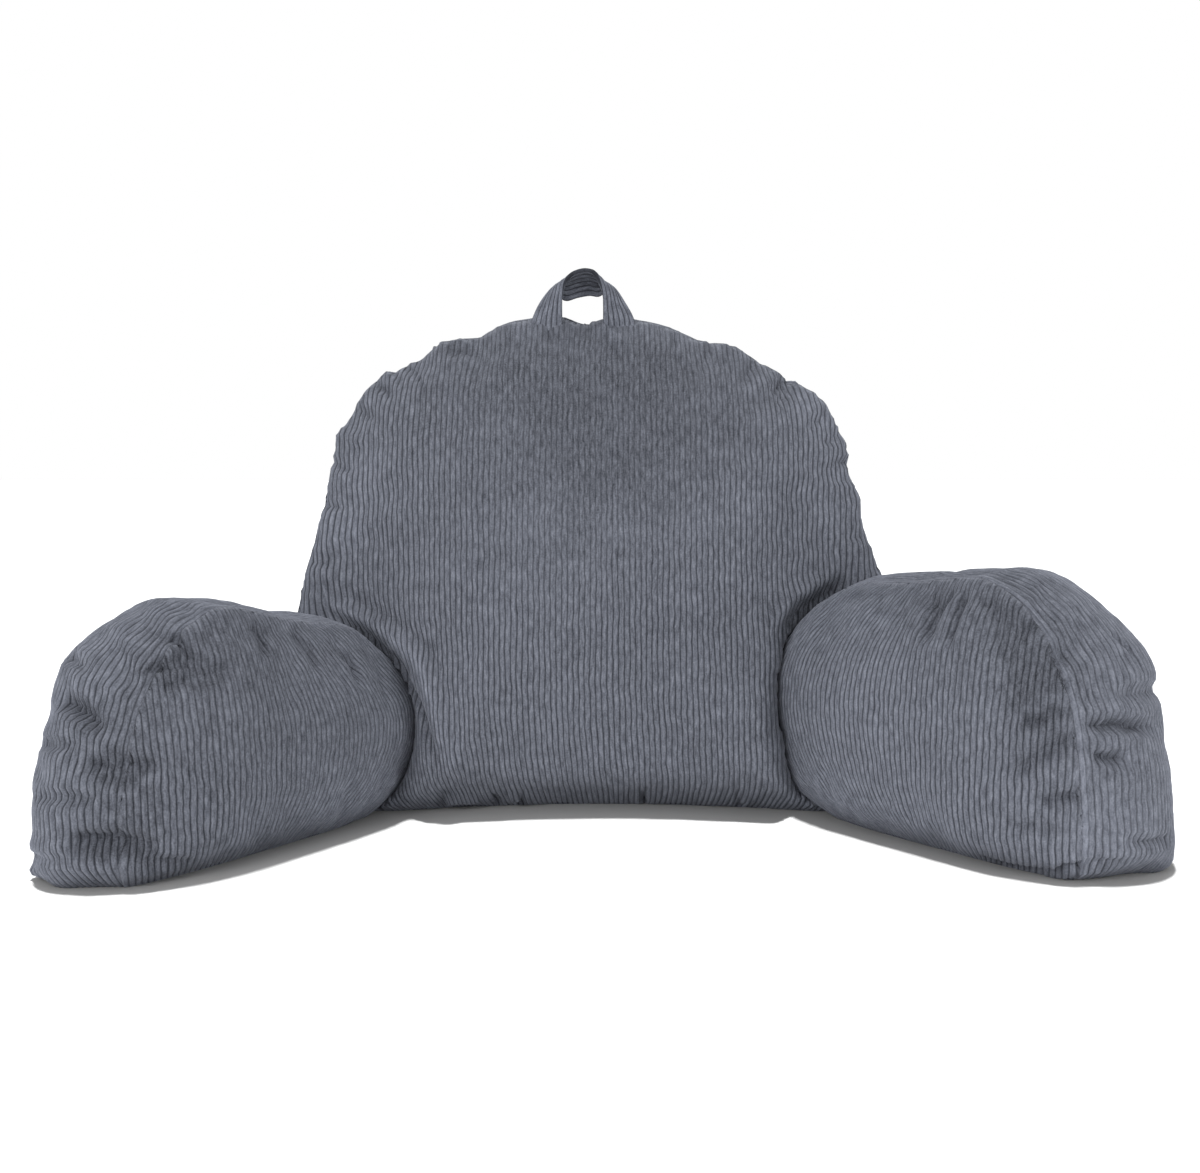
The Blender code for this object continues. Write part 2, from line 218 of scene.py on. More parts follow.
BACK_FOLDS = (
    (9, 9, (784, 640), (800, 616), (826, 596), (862, 580)),
    (-4, 6, (770, 628), (790, 602), (824, 582), (850, 570)), (4, 5, (800, 640), (822, 612), (846, 598)),
    (-7, 7, (312, 598), (342, 609), (384, 630), (418, 661), (436, 712), (449, 760), (456, 792)),
    (6, 5, (330, 615), (366, 634), (400, 666), (420, 708), (432, 752), (440, 786)),
    (3, 5, (345, 596), (392, 616), (430, 648), (452, 700)), (4, 4, (769, 392), (784, 385), (799, 379)),
    (-4.5, 3, (597, 324), (612, 332), (630, 346), (640, 356)),
    (4.5, 3.5, (602, 336), (614, 347), (628, 362)), (4, 4, (444, 353), (461, 348), (480, 357)),
    (3, 6, (640, 345), (652, 362), (656, 384)), (3, 6, (672, 352), (686, 368), (690, 392)),
    (2.5, 8, (470, 560), (540, 548), (600, 560)), (2.5, 9, (620, 640), (690, 622), (750, 634)),
    (-4.5, 7, (446, 811), (466, 814), (486, 813)), (5, 3.5, (494, 816), (499, 792)),
    (-3, 6, (506, 812), (526, 813)), (4, 3.5, (519, 813), (524, 790)), (5, 3.5, (645, 815), (643, 788)),
    (2.5, 3.5, (440, 812), (447, 786)), (2.5, 3.5, (740, 812), (735, 788)),
)

# Gathers that run in from the dome's seam, deepest at the seam
BACK_GATHERS = (
    (3.5, 4, (409, 364), (422, 388)), (3.5, 4, (378, 383), (396, 402)), (3.5, 4, (360, 409), (382, 423)),
    (3, 4, (341, 442), (366, 451)), (3, 4, (336, 465), (360, 470)), (3.5, 4, (452, 345), (462, 368)),
    (3, 4, (506, 334), (511, 358)), (3, 3.5, (549, 324), (551, 350)), (2, 5, (588, 331), (588, 344)),
    (3, 3.5, (676, 337), (668, 364)), (3, 4, (709, 347), (698, 374)), (3, 3.5, (729, 350), (719, 373)),
    (3.5, 4, (753, 362), (740, 386)), (3.5, 4, (782, 380), (766, 400)), (3.5, 4, (825, 416), (803, 429)),
    (3, 4, (846, 462), (824, 468)), (3, 4, (861, 534), (840, 538)), (3, 4, (327, 506), (350, 509)),
    (3, 4, (314, 560), (338, 560)), (3, 4, (852, 495), (832, 498)), (3, 4, (838, 437), (816, 446)),
)

# Patches painted darker or lighter, partly as pile laid over and partly as painted shade and light, each:
# pixels, radius in millimetres, tone and how worn flat
# Left arm: painted shade along the inner seam, in its creases and along the foot, with some lighter patches
LEFT_ARM_PATCHES = (
    (140, 720, 26, -0.06, 0), (135, 800, 30, -0.08, 0), (118, 844, 18, -0.12, 0), (200, 640, 26, -0.1, 0.3),
    (300, 720, 70, -0.08, 0), (80, 660, 26, 0.1, 0), (60, 800, 26, 0.08, 0), (190, 612, 18, 0.06, 0),
    (240, 622, 20, -0.08, 0.3), (250, 625, 30, -0.06, 0.2), (320, 670, 45, -0.05, 0.3),
    (215, 700, 40, -0.05, 0.25), (150, 690, 13, -0.08, 0), (135, 740, 13, -0.09, 0),
    (130, 790, 13, -0.09, 0), (128, 830, 13, -0.07, 0), (360, 740, 40, -0.04, 0.25),
    (300, 790, 40, -0.02, 0.15), (110, 640, 30, -0.04, 0), (90, 850, 20, -0.08, 0), (70, 720, 18, -0.08, 0),
    (150, 660, 16, -0.1, 0), (100, 765, 16, -0.08, 0), (180, 870, 22, -0.12, 0),
)
# Right arm: painted shade along the foot, and painted light on the lit spots at (880, 690) and (1100, 840)
RIGHT_ARM_PATCHES = (
    (1010, 873, 8, -0.15, 0.4), (1040, 880, 8, -0.18, 0.4), (1072, 880, 9, -0.18, 0.4),
    (1110, 876, 9, -0.15, 0.4), (880, 690, 45, 0.12, 0), (960, 780, 60, 0.03, 0),
    (1000, 620, 32, -0.1, 0.15), (1030, 670, 24, -0.08, 0), (1045, 730, 20, -0.08, 0),
    (1100, 840, 28, 0.12, 0), (1120, 680, 34, 0.06, 0), (940, 600, 24, -0.06, 0.3),
    (1070, 600, 22, 0.02, 0.1), (980, 590, 30, -0.08, 0.1), (1050, 600, 30, -0.04, 0.15),
    (1100, 640, 30, -0.02, 0.25), (1140, 740, 26, 0, 0.4), (1110, 760, 22, 0, 0.2),
    (1115, 810, 26, 0.04, 0.2), (1145, 830, 22, 0.02, 0.35), (900, 592, 30, -0.1, 0.25),
    (850, 622, 24, -0.06, 0.25), (1000, 680, 40, -0.02, 0.15), (1120, 690, 26, -0.04, 0.3),
)
# Back: painted shade over the top, in the joints with the arms and along the foot, and painted light down
# both sides
BACK_PATCHES = (
    (600, 385, 70, -0.2, 0.35), (520, 400, 60, -0.1, 0.2), (690, 400, 50, -0.08, 0.2),
    (330, 530, 22, 0.16, 0), (355, 480, 30, 0.1, 0), (818, 412, 22, 0.18, 0), (838, 480, 24, 0.08, 0),
    (560, 530, 60, 0.04, 0.2), (650, 372, 16, -0.12, 0), (600, 470, 50, -0.08, 0.4),
    (440, 640, 60, 0.03, 0), (820, 600, 22, -0.18, 0), (795, 628, 18, -0.2, 0), (360, 632, 12, -0.2, 0),
    (395, 664, 12, -0.2, 0), (600, 350, 60, -0.08, 0.3), (500, 352, 40, 0, 0.25), (700, 360, 45, 0, 0.25),
    (600, 600, 150, -0.06, 0), (480, 372, 40, -0.1, 0), (720, 372, 40, -0.06, 0),
    (660, 440, 60, -0.05, 0.15), (370, 620, 20, -0.12, 0), (790, 640, 26, -0.12, 0),
    (500, 800, 60, -0.06, 0), (700, 800, 60, -0.06, 0),
)


# Settings that a user would change


def linear(colour):
    """An sRGB hex colour as linear red, green and blue."""
    channels = [int(colour[k:k + 2], 16) / 255 for k in (0, 2, 4)]
    return tuple(c / 12.92 if c <= 0.04045 else ((c + 0.055) / 1.055) ** 2.4 for c in channels)


def length(name, description, default):
    """A length that a user can set, its default in millimetres."""
    return FloatProperty(name=name, description=description, default=default * MM, unit="LENGTH", precision=5)


def tint(name, description, default):
    """A colour that a user can set, its default as sRGB hex."""
    return FloatVectorProperty(
        name=name, description=description, default=linear(default), size=3, subtype="COLOR")


def amount(name, description, default):
    """A plain number that a user can set."""
    return FloatProperty(name=name, description=description, default=default)


class CorduroySettings(bpy.types.PropertyGroup):
    wale_pitch: length("Wale pitch", "Distance from one wale to the next: 5 to the inch", 5.08)
    wale_height: length("Wale height", "Height of a wale's cut pile above the ground weave", 1.1)
    row_length: length("Row length", "Length of a mesh face along a wale", 6)
    rib_colour: tint("Pile", "Colour of the pile on a wale", "555861")
    # the ground weave's colour, darkened with painted shade in the groove between wales
    groove_colour_and_shade: tint("Ground", "Colour of the ground weave between two wales", "303238")
    crushed_colour: tint("Brushed pile", "Colour of pile that lies towards the light", "666972")


class CushionSettings(bpy.types.PropertyGroup):
    pressure: amount("Filling pressure", "Cloth pressure that stands for the filling", 4.0)
    most_move: length("Most settling", "How far the cloth may move from its cut shape", 7)
    voxel: length("Cloth cell", "Cell size of the mesh that is simulated", 6)
    frames: IntProperty(name="Frames", description="Frames of simulation", default=20, min=2)
    seam_depth: length("Seam depth", "How deep a seam is drawn in between its two panels", 2.2)


class StrapSettings(bpy.types.PropertyGroup):
    thickness: length("Strap thickness", "Two layers of corduroy, folded and sewn", 3.6)
    arch: length("Strap arch", "How far the strap's middle stands proud of its edges", 4)
    hem: length("Edge to stitches", "Distance of the stitched line from the strap's edge", 4)


class StageSettings(bpy.types.PropertyGroup):
    lens: amount("Lens", "Focal length in millimetres for a 36 mm sensor", 38.06)
    pitch: FloatProperty(
        name="Camera pitch", description="How far the camera looks down",
        default=math.radians(5.627), subtype="ANGLE")
    eye: FloatVectorProperty(
        name="Camera place", description="Where the camera stands",
        default=(-8.9 * MM, -1139.1 * MM, 320 * MM), size=3, unit="LENGTH")
    floor_colour: tint("Floor", "Colour of the seamless paper floor", "8C8C8C")
    backdrop: tint("Backdrop", "Colour of the lit backdrop", "FFFFFF")
    key: amount("Key light", "Power of the light on the left, in watts", 24.0)
    side: amount("Side light", "Power of the light on the right, in watts", 9.0)
    overhead: amount("Overhead light", "Power of the light above, in watts", 6.0)
    floor_light: amount("Floor light", "Strength of the light that whitens the floor alone", 13.0)


# Curves and fields


CHUNK = 3000  # how many points are measured at once


def smooth_curve(points):
    """A Catmull-Rom curve through the points, in metres, as a dense polyline."""
    p = np.array(points, float) * MM
    p = np.vstack([2 * p[0] - p[1], p, 2 * p[-1] - p[-2]])
    s = np.linspace(0, 1, CURVE_SAMPLES, endpoint=False)[:, None]
    spans = []
    for a, b, c, d in zip(p, p[1:], p[2:], p[3:]):
        slope = c - a
        bend = 2 * a - 5 * b + 4 * c - d
        twist = d + 3 * (b - c) - a
        spans.append(b + 0.5 * (slope * s + bend * s**2 + twist * s**3))
    return np.vstack(spans + [p[-2:-1]])


def run_along(line):
    return np.concatenate([[0], np.cumsum(np.linalg.norm(np.diff(line, axis=0), axis=1))])


def point_along(line, share):
    """The points at these shares of a polyline's length."""
    run = run_along(line)
    return np.stack([np.interp(share, run / run[-1], column) for column in line.T], axis=1)


def nearest_on(line, points):
    """For each point, its distance to a polyline, the nearest span and the share along that span."""
    starts, spans = line[:-1], np.diff(line, axis=0)
    lengths = np.maximum((spans**2).sum(1), 1e-18)
    found = []
    for chunk in np.array_split(points, len(points) // CHUNK + 1):
        to = chunk[:, None] - starts
        share = np.clip((to * spans).sum(2) / lengths, 0, 1)
        gap = ((to - share[..., None] * spans) ** 2).sum(2)
        best = gap.argmin(1)
        rows = np.arange(len(chunk))
        found.append(np.stack([np.sqrt(gap[rows, best]), best, share[rows, best]]))
    gap, best, share = np.concatenate(found, axis=1)
    return gap, best.astype(int), share


def between(values, span, share):
    """A polyline's points, or any values at its corners, at a share of each span."""
    share = share.reshape(-1, *[1] * (values.ndim - 1))
    return values[span] + share * (values[span + 1] - values[span])


def bell(x):
    """1 at 0, falling softly to nothing at 3 either way."""
    return np.exp(-0.5 * x**2)


def smooth_step(x):
    x = np.clip(x, 0, 1)
    return x * x * (3 - 2 * x)


def crowned(distance, reach):
    """0 on a seam, rising steeply and levelling to 1 at reach from it."""
    return (1 - (1 - np.clip(distance / reach, 0, 1)) ** 2) ** CROWN_ROUNDNESS


def ripple(x, y, wave):
    """A soft uneven field between -1 and 1 with swells about one wave apart."""
    a, b = 2 * math.pi * x / wave, 2 * math.pi * y / wave
    return (
        np.sin(a + 1.7 * np.sin(0.61 * b + 0.4)) * np.cos(0.83 * b + 1.3 * np.sin(0.47 * a + 2.1))
        + 0.5 * np.sin(1.9 * a - 1.3 * b + 0.9) * np.sin(0.37 * a + 2.3 * b)
    ) / 1.5


class Form:
    """One boxed cushion in its own frame: along the panel, through the cushion, up."""

    ACROSS_STEP = 2 * MM
    UP_STEP = 3 * MM
    MARGIN = 30 * MM
    HALVINGS = 22

    def __init__(
            self, outline, filling, seams, bulge, to_frame,
            lean=None, follow=0.0, curl=0.0, welt=1.0, rolled=False):
        self.line = smooth_curve(outline)
        self.follow = follow  # how closely the wales follow the outline's rear end
        self.curl = curl  # how far the strip's wales swing where it turns down at the front
        self.welt = welt  # how much the seam's folded allowance shows
        self.rolled = rolled  # the front seam stands as far out as the strip does
        self.filling = filling
        self.seams = seams
        self.bulge = bulge
        self.to_frame = to_frame
        self.lean = lean  # how far the front panel's wales lean sideways
        self.crest = self.line[self.line[:, 1].argmax()]
        tangents = np.diff(self.line, axis=0)
        tangents /= np.linalg.norm(tangents, axis=1)[:, None]
        self.outwards = np.stack([-tangents[:, 1], tangents[:, 0]], axis=1)
        self.measure_cloth()

    def lift(self, height):
        rounding = smooth_step(height / self.filling["floor_round"]) ** 0.5
        fullness = self.filling["floor_fullness"]
        return fullness + (1 - fullness) * rounding

    def panel(self, flat, side, distance=None):
        """Depth of the front (side 0) or rear (side 1) panel over points of the outline's plane."""
        if distance is None:
            distance = nearest_on(self.line, flat)[0]
        fullness = self.filling["crowns"][side] * self.lift(flat[:, 1])
        crown = fullness * crowned(distance, self.filling["reach"])
        return self.seams(flat[:, 0], flat[:, 1])[side] + (crown if side else -crown)

    def measure_cloth(self):
        """Tables of the cloth's length across each panel at each height, from the crest's line outwards."""
        low, high = self.line[:, 0].min() - self.MARGIN, self.line[:, 0].max() + self.MARGIN
        self.across = np.arange(low, high, self.ACROSS_STEP)
        self.up = np.arange(0, self.crest[1] + 2 * self.UP_STEP, self.UP_STEP)
        grid = np.stack(np.meshgrid(self.across, self.up), axis=2)
        flat = grid.reshape(-1, 2)
        top = self.line[:, 1].argmax()
        left = np.interp(self.up, self.line[: top + 1, 1], self.line[: top + 1, 0])
        right = np.interp(self.up, self.line[top:, 1][::-1], self.line[top:, 0][::-1])
        widest = left.min()
        foot = FOLLOW_FOOT * (1 - np.clip(self.up / FOLLOW_FOOT_HEIGHT, 0, 1)) ** 2
        carried = (np.minimum(left - widest, FOLLOW_MOST) + foot)[:, None]
        carried = self.follow * carried * (1 - smooth_step((self.across - widest) / FOLLOW_REACH))
        inside = (self.across >= left[:, None]) & (self.across <= right[:, None])
        inside &= self.up[:, None] <= self.crest[1]
        distance = nearest_on(self.line, flat)[0]
        self.cloth = []
        for side in (0, 1):
            depth = self.panel(flat, side, distance).reshape(inside.shape)
            rise = np.diff(depth, axis=1) * (inside[:, 1:] & inside[:, :-1])
            run = np.cumsum(np.hypot(self.ACROSS_STEP, rise), axis=1)
            run = np.hstack([np.zeros((len(run), 1)), run])
            middle = [np.interp(self.crest[0], self.across, row) for row in run]
            self.cloth.append(run - np.array(middle)[:, None] - carried)

    def cloth_at(self, flat, side):
        """The cloth's length from the crest's line to these points, at their own height."""
        x = np.clip((flat[:, 0] - self.across[0]) / self.ACROSS_STEP, 0, len(self.across) - 1.001)
        y = np.clip(flat[:, 1] / self.UP_STEP, 0, len(self.up) - 1.001)
        i, j = x.astype(int), y.astype(int)
        x, y = x - i, y - j
        table = self.cloth[side]
        low = table[j, i] * (1 - x) + table[j, i + 1] * x
        high = table[j + 1, i] * (1 - x) + table[j + 1, i + 1] * x
        return low * (1 - y) + high * y

    def flat_at(self, cloth, height, side):
        """Where the cloth's points lie in the outline's plane: the inverse of cloth_at, by halving."""
        low = np.full(len(cloth), self.across[0])
        high = np.full(len(cloth), self.across[-1])
        for _ in range(self.HALVINGS):
            middle = (low + high) / 2
            short = self.cloth_at(np.stack([middle, height], axis=1), side) < cloth
            low, high = np.where(short, middle, low), np.where(short, high, middle)
        return np.stack([(low + high) / 2, height], axis=1)

    def seam_run(self, flat):
        """How far round the dome's seam the nearest point to these lies."""
        _, span, share = nearest_on(self.line, flat)
        return between(run_along(self.line), span, share)

    def swell(self):
        """How far the strip stands out beyond the outline at each station."""
        return self.bulge(self.out) * self.lift(self.loop[:, 1]) * self.on_rim

    def set_stations(self, spacing, floor_spacing):
        """Marks the seam's round at even steps: over the dome from foot to foot, then along the floor."""
        length = run_along(self.line)[-1]
        rim = point_along(self.line, np.linspace(0, 1, round(length / spacing) + 1))
        width = np.linalg.norm(rim[-1] - rim[0])
        share = np.linspace(0, 1, round(width / floor_spacing) + 1)[1:-1, None]
        floor = rim[-1] + share * (rim[0] - rim[-1])
        self.loop = np.vstack([rim, floor])
        self.on_rim = np.arange(len(self.loop)) < len(rim)
        self.out = np.where(self.on_rim[:, None], self.outwards[nearest_on(self.line, self.loop)[1]], (0, -1))
        self.along = run_along(self.loop)


# Reading and writing a mesh


def read_vectors(data, name):
    values = np.empty(len(data) * 3, np.float32)
    data.foreach_get(name, values)
    return values.reshape(-1, 3).astype(float)


def coordinates(mesh):
    return read_vectors(mesh.vertices, "co")


def set_coordinates(mesh, points):
    mesh.vertices.foreach_set("co", points.astype(np.float32).ravel())
    mesh.update()


def vertex_normals(mesh):
    return read_vectors(mesh.vertex_normals, "vector")


def read_attribute(mesh, name):
    return read_vectors(mesh.attributes[name].data, "vector")


def write_attribute(mesh, name, values):
    attribute = mesh.attributes.get(name) or mesh.attributes.new(name, "FLOAT_VECTOR", "POINT")
    attribute.data.foreach_set("vector", values.astype(np.float32).ravel())


def mend(mesh, weld=False, outwards=False):
    """Welds a mesh's doubled points and turns its faces outwards."""
    bm = bmesh.new()
    bm.from_mesh(mesh)
    if weld:
        bmesh.ops.remove_doubles(bm, verts=bm.verts, dist=WELD)
    if weld and outwards:
        bmesh.ops.recalc_face_normals(bm, faces=bm.faces)
    if outwards and bm.calc_volume(signed=True) < 0:
        bmesh.ops.reverse_faces(bm, faces=bm.faces)
    bm.to_mesh(mesh)
    bm.free()


def set_down(name, data):
    """A new object in the scene."""
    thing = bpy.data.objects.new(name, data)
    bpy.context.scene.collection.objects.link(thing)
    return thing


def point_tree(points):
    tree = KDTree(len(points))
    for k, point in enumerate(points):
        tree.insert(point, k)
    tree.balance()
    return tree


def surface_tree(piece):
    mesh = piece.data
    return BVHTree.FromPolygons([v.co for v in mesh.vertices], [p.vertices for p in mesh.polygons])


# Cutting and sewing one cushion's mesh

WELD = 0.01 * MM
COLUMNS_A_WALE = 4
SNAP = 0.05 * MM  # a cut this near to a point goes through the point
SEAM_AT = (0.1, 0.9)  # where the two seams lie between the flat panels while the mesh is put together
NEARLY = 1e-4
GROOVE_WIDTH = 3 * MM  # the pile lies down over this width beside a seam
FLOOR_ROWS = np.array((1.5, 4, 8)) * MM  # close rows where the cloth turns under
WELT_WIDTH = 6 * MM  # the strip's edge stands up over this width, on the seam's folded allowance
WELT_HEIGHT = 0.8 * MM
WELT_PAINTED_HIGHLIGHT, WELT_WORN, WELT_SMOOTH = 0.2, 0.5, 0.6  # painted highlight: its raised pile is painted lighter; and its wales are worn fainter
WAVER = 0.95 * MM  # how far a wale wanders from straight
WAVER_LENGTH = 74 * MM
CRIMP = 0.42 * MM  # its small wiggles
CRIMP_LENGTH = 19 * MM
FOLLOW_MOST = 105 * MM  # how far the wales near a rounded rear end are carried round with it
FOLLOW_REACH = 250 * MM  # and how far into the panel that shows
FOLLOW_FOOT = 38 * MM  # the wales curl back this far at the floor
FOLLOW_FOOT_HEIGHT = 115 * MM
CURL_AT, CURL_SPREAD = 0.62, 0.13  # where the strip's wales swing, as shares of the dome's seam
CURL_LENGTH, CURL_SLANT, CURL_UNEVEN = 34 * MM, 70 * MM, 0.22
STRIP_FADE = 14 * MM
SWAY_FADE = 30 * MM  # wales are held where they were cut beside a seam, and free further in than this
ROLL_FADE = 24 * MM  # how far a rolled seam draws its panel out with it


def slice_faces(bm, faces, axis, places):
    """Cuts faces across an axis at each place, lowest first, and returns them all."""
    normal = Vector([float(k == axis) for k in range(3)])
    done, rest = [], faces
    for place in places:
        corners = list(dict.fromkeys(v for f in rest for v in f.verts))
        edges = list(dict.fromkeys(e for f in rest for e in f.edges))
        cut = bmesh.ops.bisect_plane(
            bm, geom=corners + edges + rest, dist=SNAP, plane_co=normal * place, plane_no=normal)
        pieces = [g for g in cut["geom"] if isinstance(g, bmesh.types.BMFace)]
        rest = [f for f in pieces if f.calc_center_median()[axis] > place]
        done += [f for f in pieces if f.calc_center_median()[axis] <= place]
    return done + rest


def cut_panel(bm, pattern, depth, pitch, row_length):
    """A flat panel cut to its pattern, with a line of points along each side and crest of each wale."""
    ring = bmesh.ops.create_circle(bm, cap_ends=True, segments=len(pattern), radius=1)["verts"]
    ring.sort(key=lambda v: math.atan2(v.co.y, v.co.x))
    for vertex, (across, height) in zip(ring, pattern):
        vertex.co = (across, depth, height)
    faces = list(dict.fromkeys(f for v in ring for f in v.link_faces))
    column = pitch / COLUMNS_A_WALE
    low, high = pattern[:, 0].min(), pattern[:, 0].max()
    columns = np.arange(math.ceil(low / column), math.floor(high / column) + 1) * column
    rows = np.append(FLOOR_ROWS, np.arange(FLOOR_ROWS[-1] + row_length, pattern[:, 1].max(), row_length))
    faces = slice_faces(bm, faces, 2, rows)
    faces = slice_faces(bm, faces, 0, columns)
    return faces, ring


def seam_band(bm, faces, ring, loop, depth):
    """Turns a panel's edge in to its seam. Returns the seam's points, one at each station."""
    rim = [e for e in dict.fromkeys(e for f in faces for e in f.edges) if e.is_boundary]
    made = bmesh.ops.extrude_edge_only(bm, edges=rim)["geom"]
    outer = dict.fromkeys(g for g in made if isinstance(g, bmesh.types.BMVert))
    place = {vertex: k for k, vertex in enumerate(ring)}
    seam, spare = [None] * len(ring), []
    for vertex in outer:
        link = next(e for e in vertex.link_edges if e.other_vert(vertex) not in outer)
        station = place.get(link.other_vert(vertex))
        if station is None:
            spare.append(link)
        else:
            seam[station] = vertex
            vertex.co = (loop[station][0], depth, loop[station][1])
    bmesh.ops.dissolve_edges(bm, edges=spare, use_verts=True)
    return seam


def sewn_mesh(form, pitch, row_length):
    """The closed mesh of a boxed cushion, still laid out flat, and its number of strip columns."""
    bm = bmesh.new()
    seams = []
    for side in (0, 1):
        faces, ring = cut_panel(bm, pattern_of(form, side), float(side), pitch, row_length)
        seams.append(seam_band(bm, faces, ring, form.loop, SEAM_AT[side]))
    around = [bm.edges.get((seam[k - 1], seam[k])) for seam in seams for k in range(len(seam))]
    bmesh.ops.bridge_loops(bm, edges=around)
    rungs = [bm.edges.get(pair) for pair in zip(*seams)]
    if None in rungs:
        raise RuntimeError("the strip wasn't sewn station to station")
    width = strip_arcs(form)[1].max()
    columns = 2 * math.ceil(width / (pitch / COLUMNS_A_WALE) / 2)
    bmesh.ops.subdivide_edges(bm, edges=rungs, cuts=columns - 1, use_grid_fill=True)
    return bm, columns


def strip_arcs(form, samples=41):
    """The strip's section at each station: shares through the cushion, the cloth's length and run."""
    front = np.where(form.on_rim, form.seams(*form.loop.T)[0], form.panel(form.loop, 0))
    rear = np.where(form.on_rim, form.seams(*form.loop.T)[1], form.panel(form.loop, 1))
    b = np.linspace(-1, 1, samples)
    profile = np.where(b < 0, 1, 1 - b**2) if form.rolled else 1 - b**2
    offset = form.swell()[:, None] * profile
    depth = front[:, None] + (b + 1) / 2 * (rear - front)[:, None]
    steps = np.hypot(np.diff(offset, axis=1), np.diff(depth, axis=1))
    run = np.hstack([np.zeros((len(steps), 1)), np.cumsum(steps, axis=1)])
    return (offset, depth), run[:, -1], run


def wander(across, along):
    """How far the wales stray from straight."""
    return WAVER * ripple(across, along, WAVER_LENGTH) + CRIMP * ripple(across, along, CRIMP_LENGTH)


def pattern_of(form, side):
    """A flat panel's edge, one point at each station."""
    return np.stack([form.cloth_at(form.loop, side), form.loop[:, 1]], axis=1)


def lay_panel(form, flat, side, pitch):
    """Places a flat panel's points on the filled form: points, cloth coordinates, place by the seam."""
    pattern = pattern_of(form, side)
    around = np.vstack([pattern, pattern[:1]])
    loop = np.vstack([form.loop, form.loop[:1]])
    to_rim, span, share = nearest_on(around, flat)
    on_rim = to_rim < SNAP / 2
    on_floor = flat[:, 1] < SNAP / 2
    rim = between(loop, span, share)
    sway = wander(*flat.T)
    if form.lean and side == 0:
        sway += form.lean(flat)
    seamed = on_rim & ~on_floor
    close = np.where(on_rim[:, None], rim, form.flat_at(flat[:, 0], flat[:, 1], side))
    close = nearest_on(form.line, close)[0]
    sway *= smooth_step(close / SWAY_FADE)
    plane = np.where(seamed[:, None], rim, form.flat_at(flat[:, 0] + sway, flat[:, 1], side))
    distance, span, _ = nearest_on(form.line, plane)
    distance = np.where(seamed, 0, distance)
    depth = form.panel(plane, side, distance)
    if form.rolled and side == 0:
        rise = np.interp(form.seam_run(plane), form.along[form.on_rim], form.swell()[form.on_rim])
        plane = plane + form.outwards[span] * (rise * np.exp(-((distance / ROLL_FADE) ** 2)))[:, None]
    points = np.stack([plane[:, 0], depth, plane[:, 1]], axis=1)
    pile = smooth_step(to_rim / GROOVE_WIDTH)
    wale = np.abs(np.sin(math.pi * flat[:, 0] / pitch))
    fabric = np.stack([flat[:, 0] / pitch, flat[:, 1], np.where(on_rim, 0, wale * pile)], axis=1)
    beside = np.stack([form.seam_run(plane), distance, np.zeros_like(distance)], axis=1)
    return points, fabric, beside


def lay_strip(form, station, column, columns, pitch, seam_depth):
    """Places the strip's points, draws its edges in to the seams, and gives the same as lay_panel."""
    (offset, depth), width, run = strip_arcs(form)
    wanted = (column - columns / 2) * pitch / COLUMNS_A_WALE
    half = width[station] / 2
    cloth = np.clip(wanted, -half, half)
    at_seam = (column == 0) | (column == columns) | (np.abs(wanted) >= half)
    from_seam = half - np.abs(cloth)
    along = form.along[station]
    share = along / run_along(form.line)[-1]
    swing = form.curl * bell((share - CURL_AT) / CURL_SPREAD)
    turn = along / CURL_LENGTH + wanted / CURL_SLANT + CURL_UNEVEN * ripple(along, wanted, 2 * CURL_LENGTH)
    sway = swing * np.sin(2 * math.pi * turn)
    sway += wander(wanted, along)
    cloth = cloth + sway * smooth_step(from_seam / STRIP_FADE)
    welt = form.welt * np.sin(math.pi * np.clip(from_seam / WELT_WIDTH, 0, 1)) * form.on_rim[station]
    points = np.empty((len(station), 3))
    for k in np.unique(station):
        here = station == k
        length = cloth[here] + half[here]
        points[here, 1] = np.interp(length, run[k], depth[k])
        swell = np.interp(length, run[k], offset[k]) - seam_depth * at_seam[here] * form.on_rim[k]
        swell += WELT_HEIGHT * welt[here]
        points[here, 0] = form.loop[k, 0] + swell * form.out[k, 0]
        points[here, 2] = form.loop[k, 1] + swell * form.out[k, 1]
    pile = smooth_step(from_seam / GROOVE_WIDTH) * form.on_rim[station] * (1 - WELT_SMOOTH * welt)
    wale = np.abs(np.sin(math.pi * wanted / pitch))
    fabric = np.stack([wanted / pitch, form.along[station], np.where(at_seam, 0, wale * pile)], axis=1)
    beside = np.stack([form.along[station], from_seam, welt * (cloth < 0)], axis=1)
    return points, fabric, beside


def sewn_cushion(name, form, pitch, row_length, seam_depth):
    """A cushion's object in its own frame, with its cloth coordinates in the attribute named fabric."""
    bm, columns = sewn_mesh(form, pitch, row_length)
    mesh = bpy.data.meshes.new(name)
    bm.to_mesh(mesh)
    bm.free()
    flat = coordinates(mesh)
    points, fabric, beside = np.zeros((3, *flat.shape))
    for side in (0, 1):
        here = np.abs(flat[:, 1] - side) < NEARLY
        points[here], fabric[here], beside[here] = lay_panel(form, flat[here][:, [0, 2]], side, pitch)
    here = (flat[:, 1] > SEAM_AT[0] - NEARLY) & (flat[:, 1] < SEAM_AT[1] + NEARLY)
    column = np.rint((flat[here, 1] - SEAM_AT[0]) / (SEAM_AT[1] - SEAM_AT[0]) * columns)
    tree = point_tree([(across, 0, height) for across, height in form.loop])
    station = np.array([tree.find((x, 0, z))[1] for x, z in flat[here][:, [0, 2]]])
    points[here], fabric[here], beside[here] = lay_strip(form, station, column, columns, pitch, seam_depth)
    write_attribute(mesh, "fabric", fabric)
    write_attribute(mesh, "beside_seam", beside)
    # the welt's painted highlight, and its wales worn fainter
    write_attribute(mesh, "nap", beside[:, 2:] * (WELT_PAINTED_HIGHLIGHT, WELT_WORN, 0))
    set_coordinates(mesh, points)
    mend(mesh, weld=True, outwards=True)
    mesh.shade_smooth()
    return set_down(name, mesh)


# Filling, settling and creasing

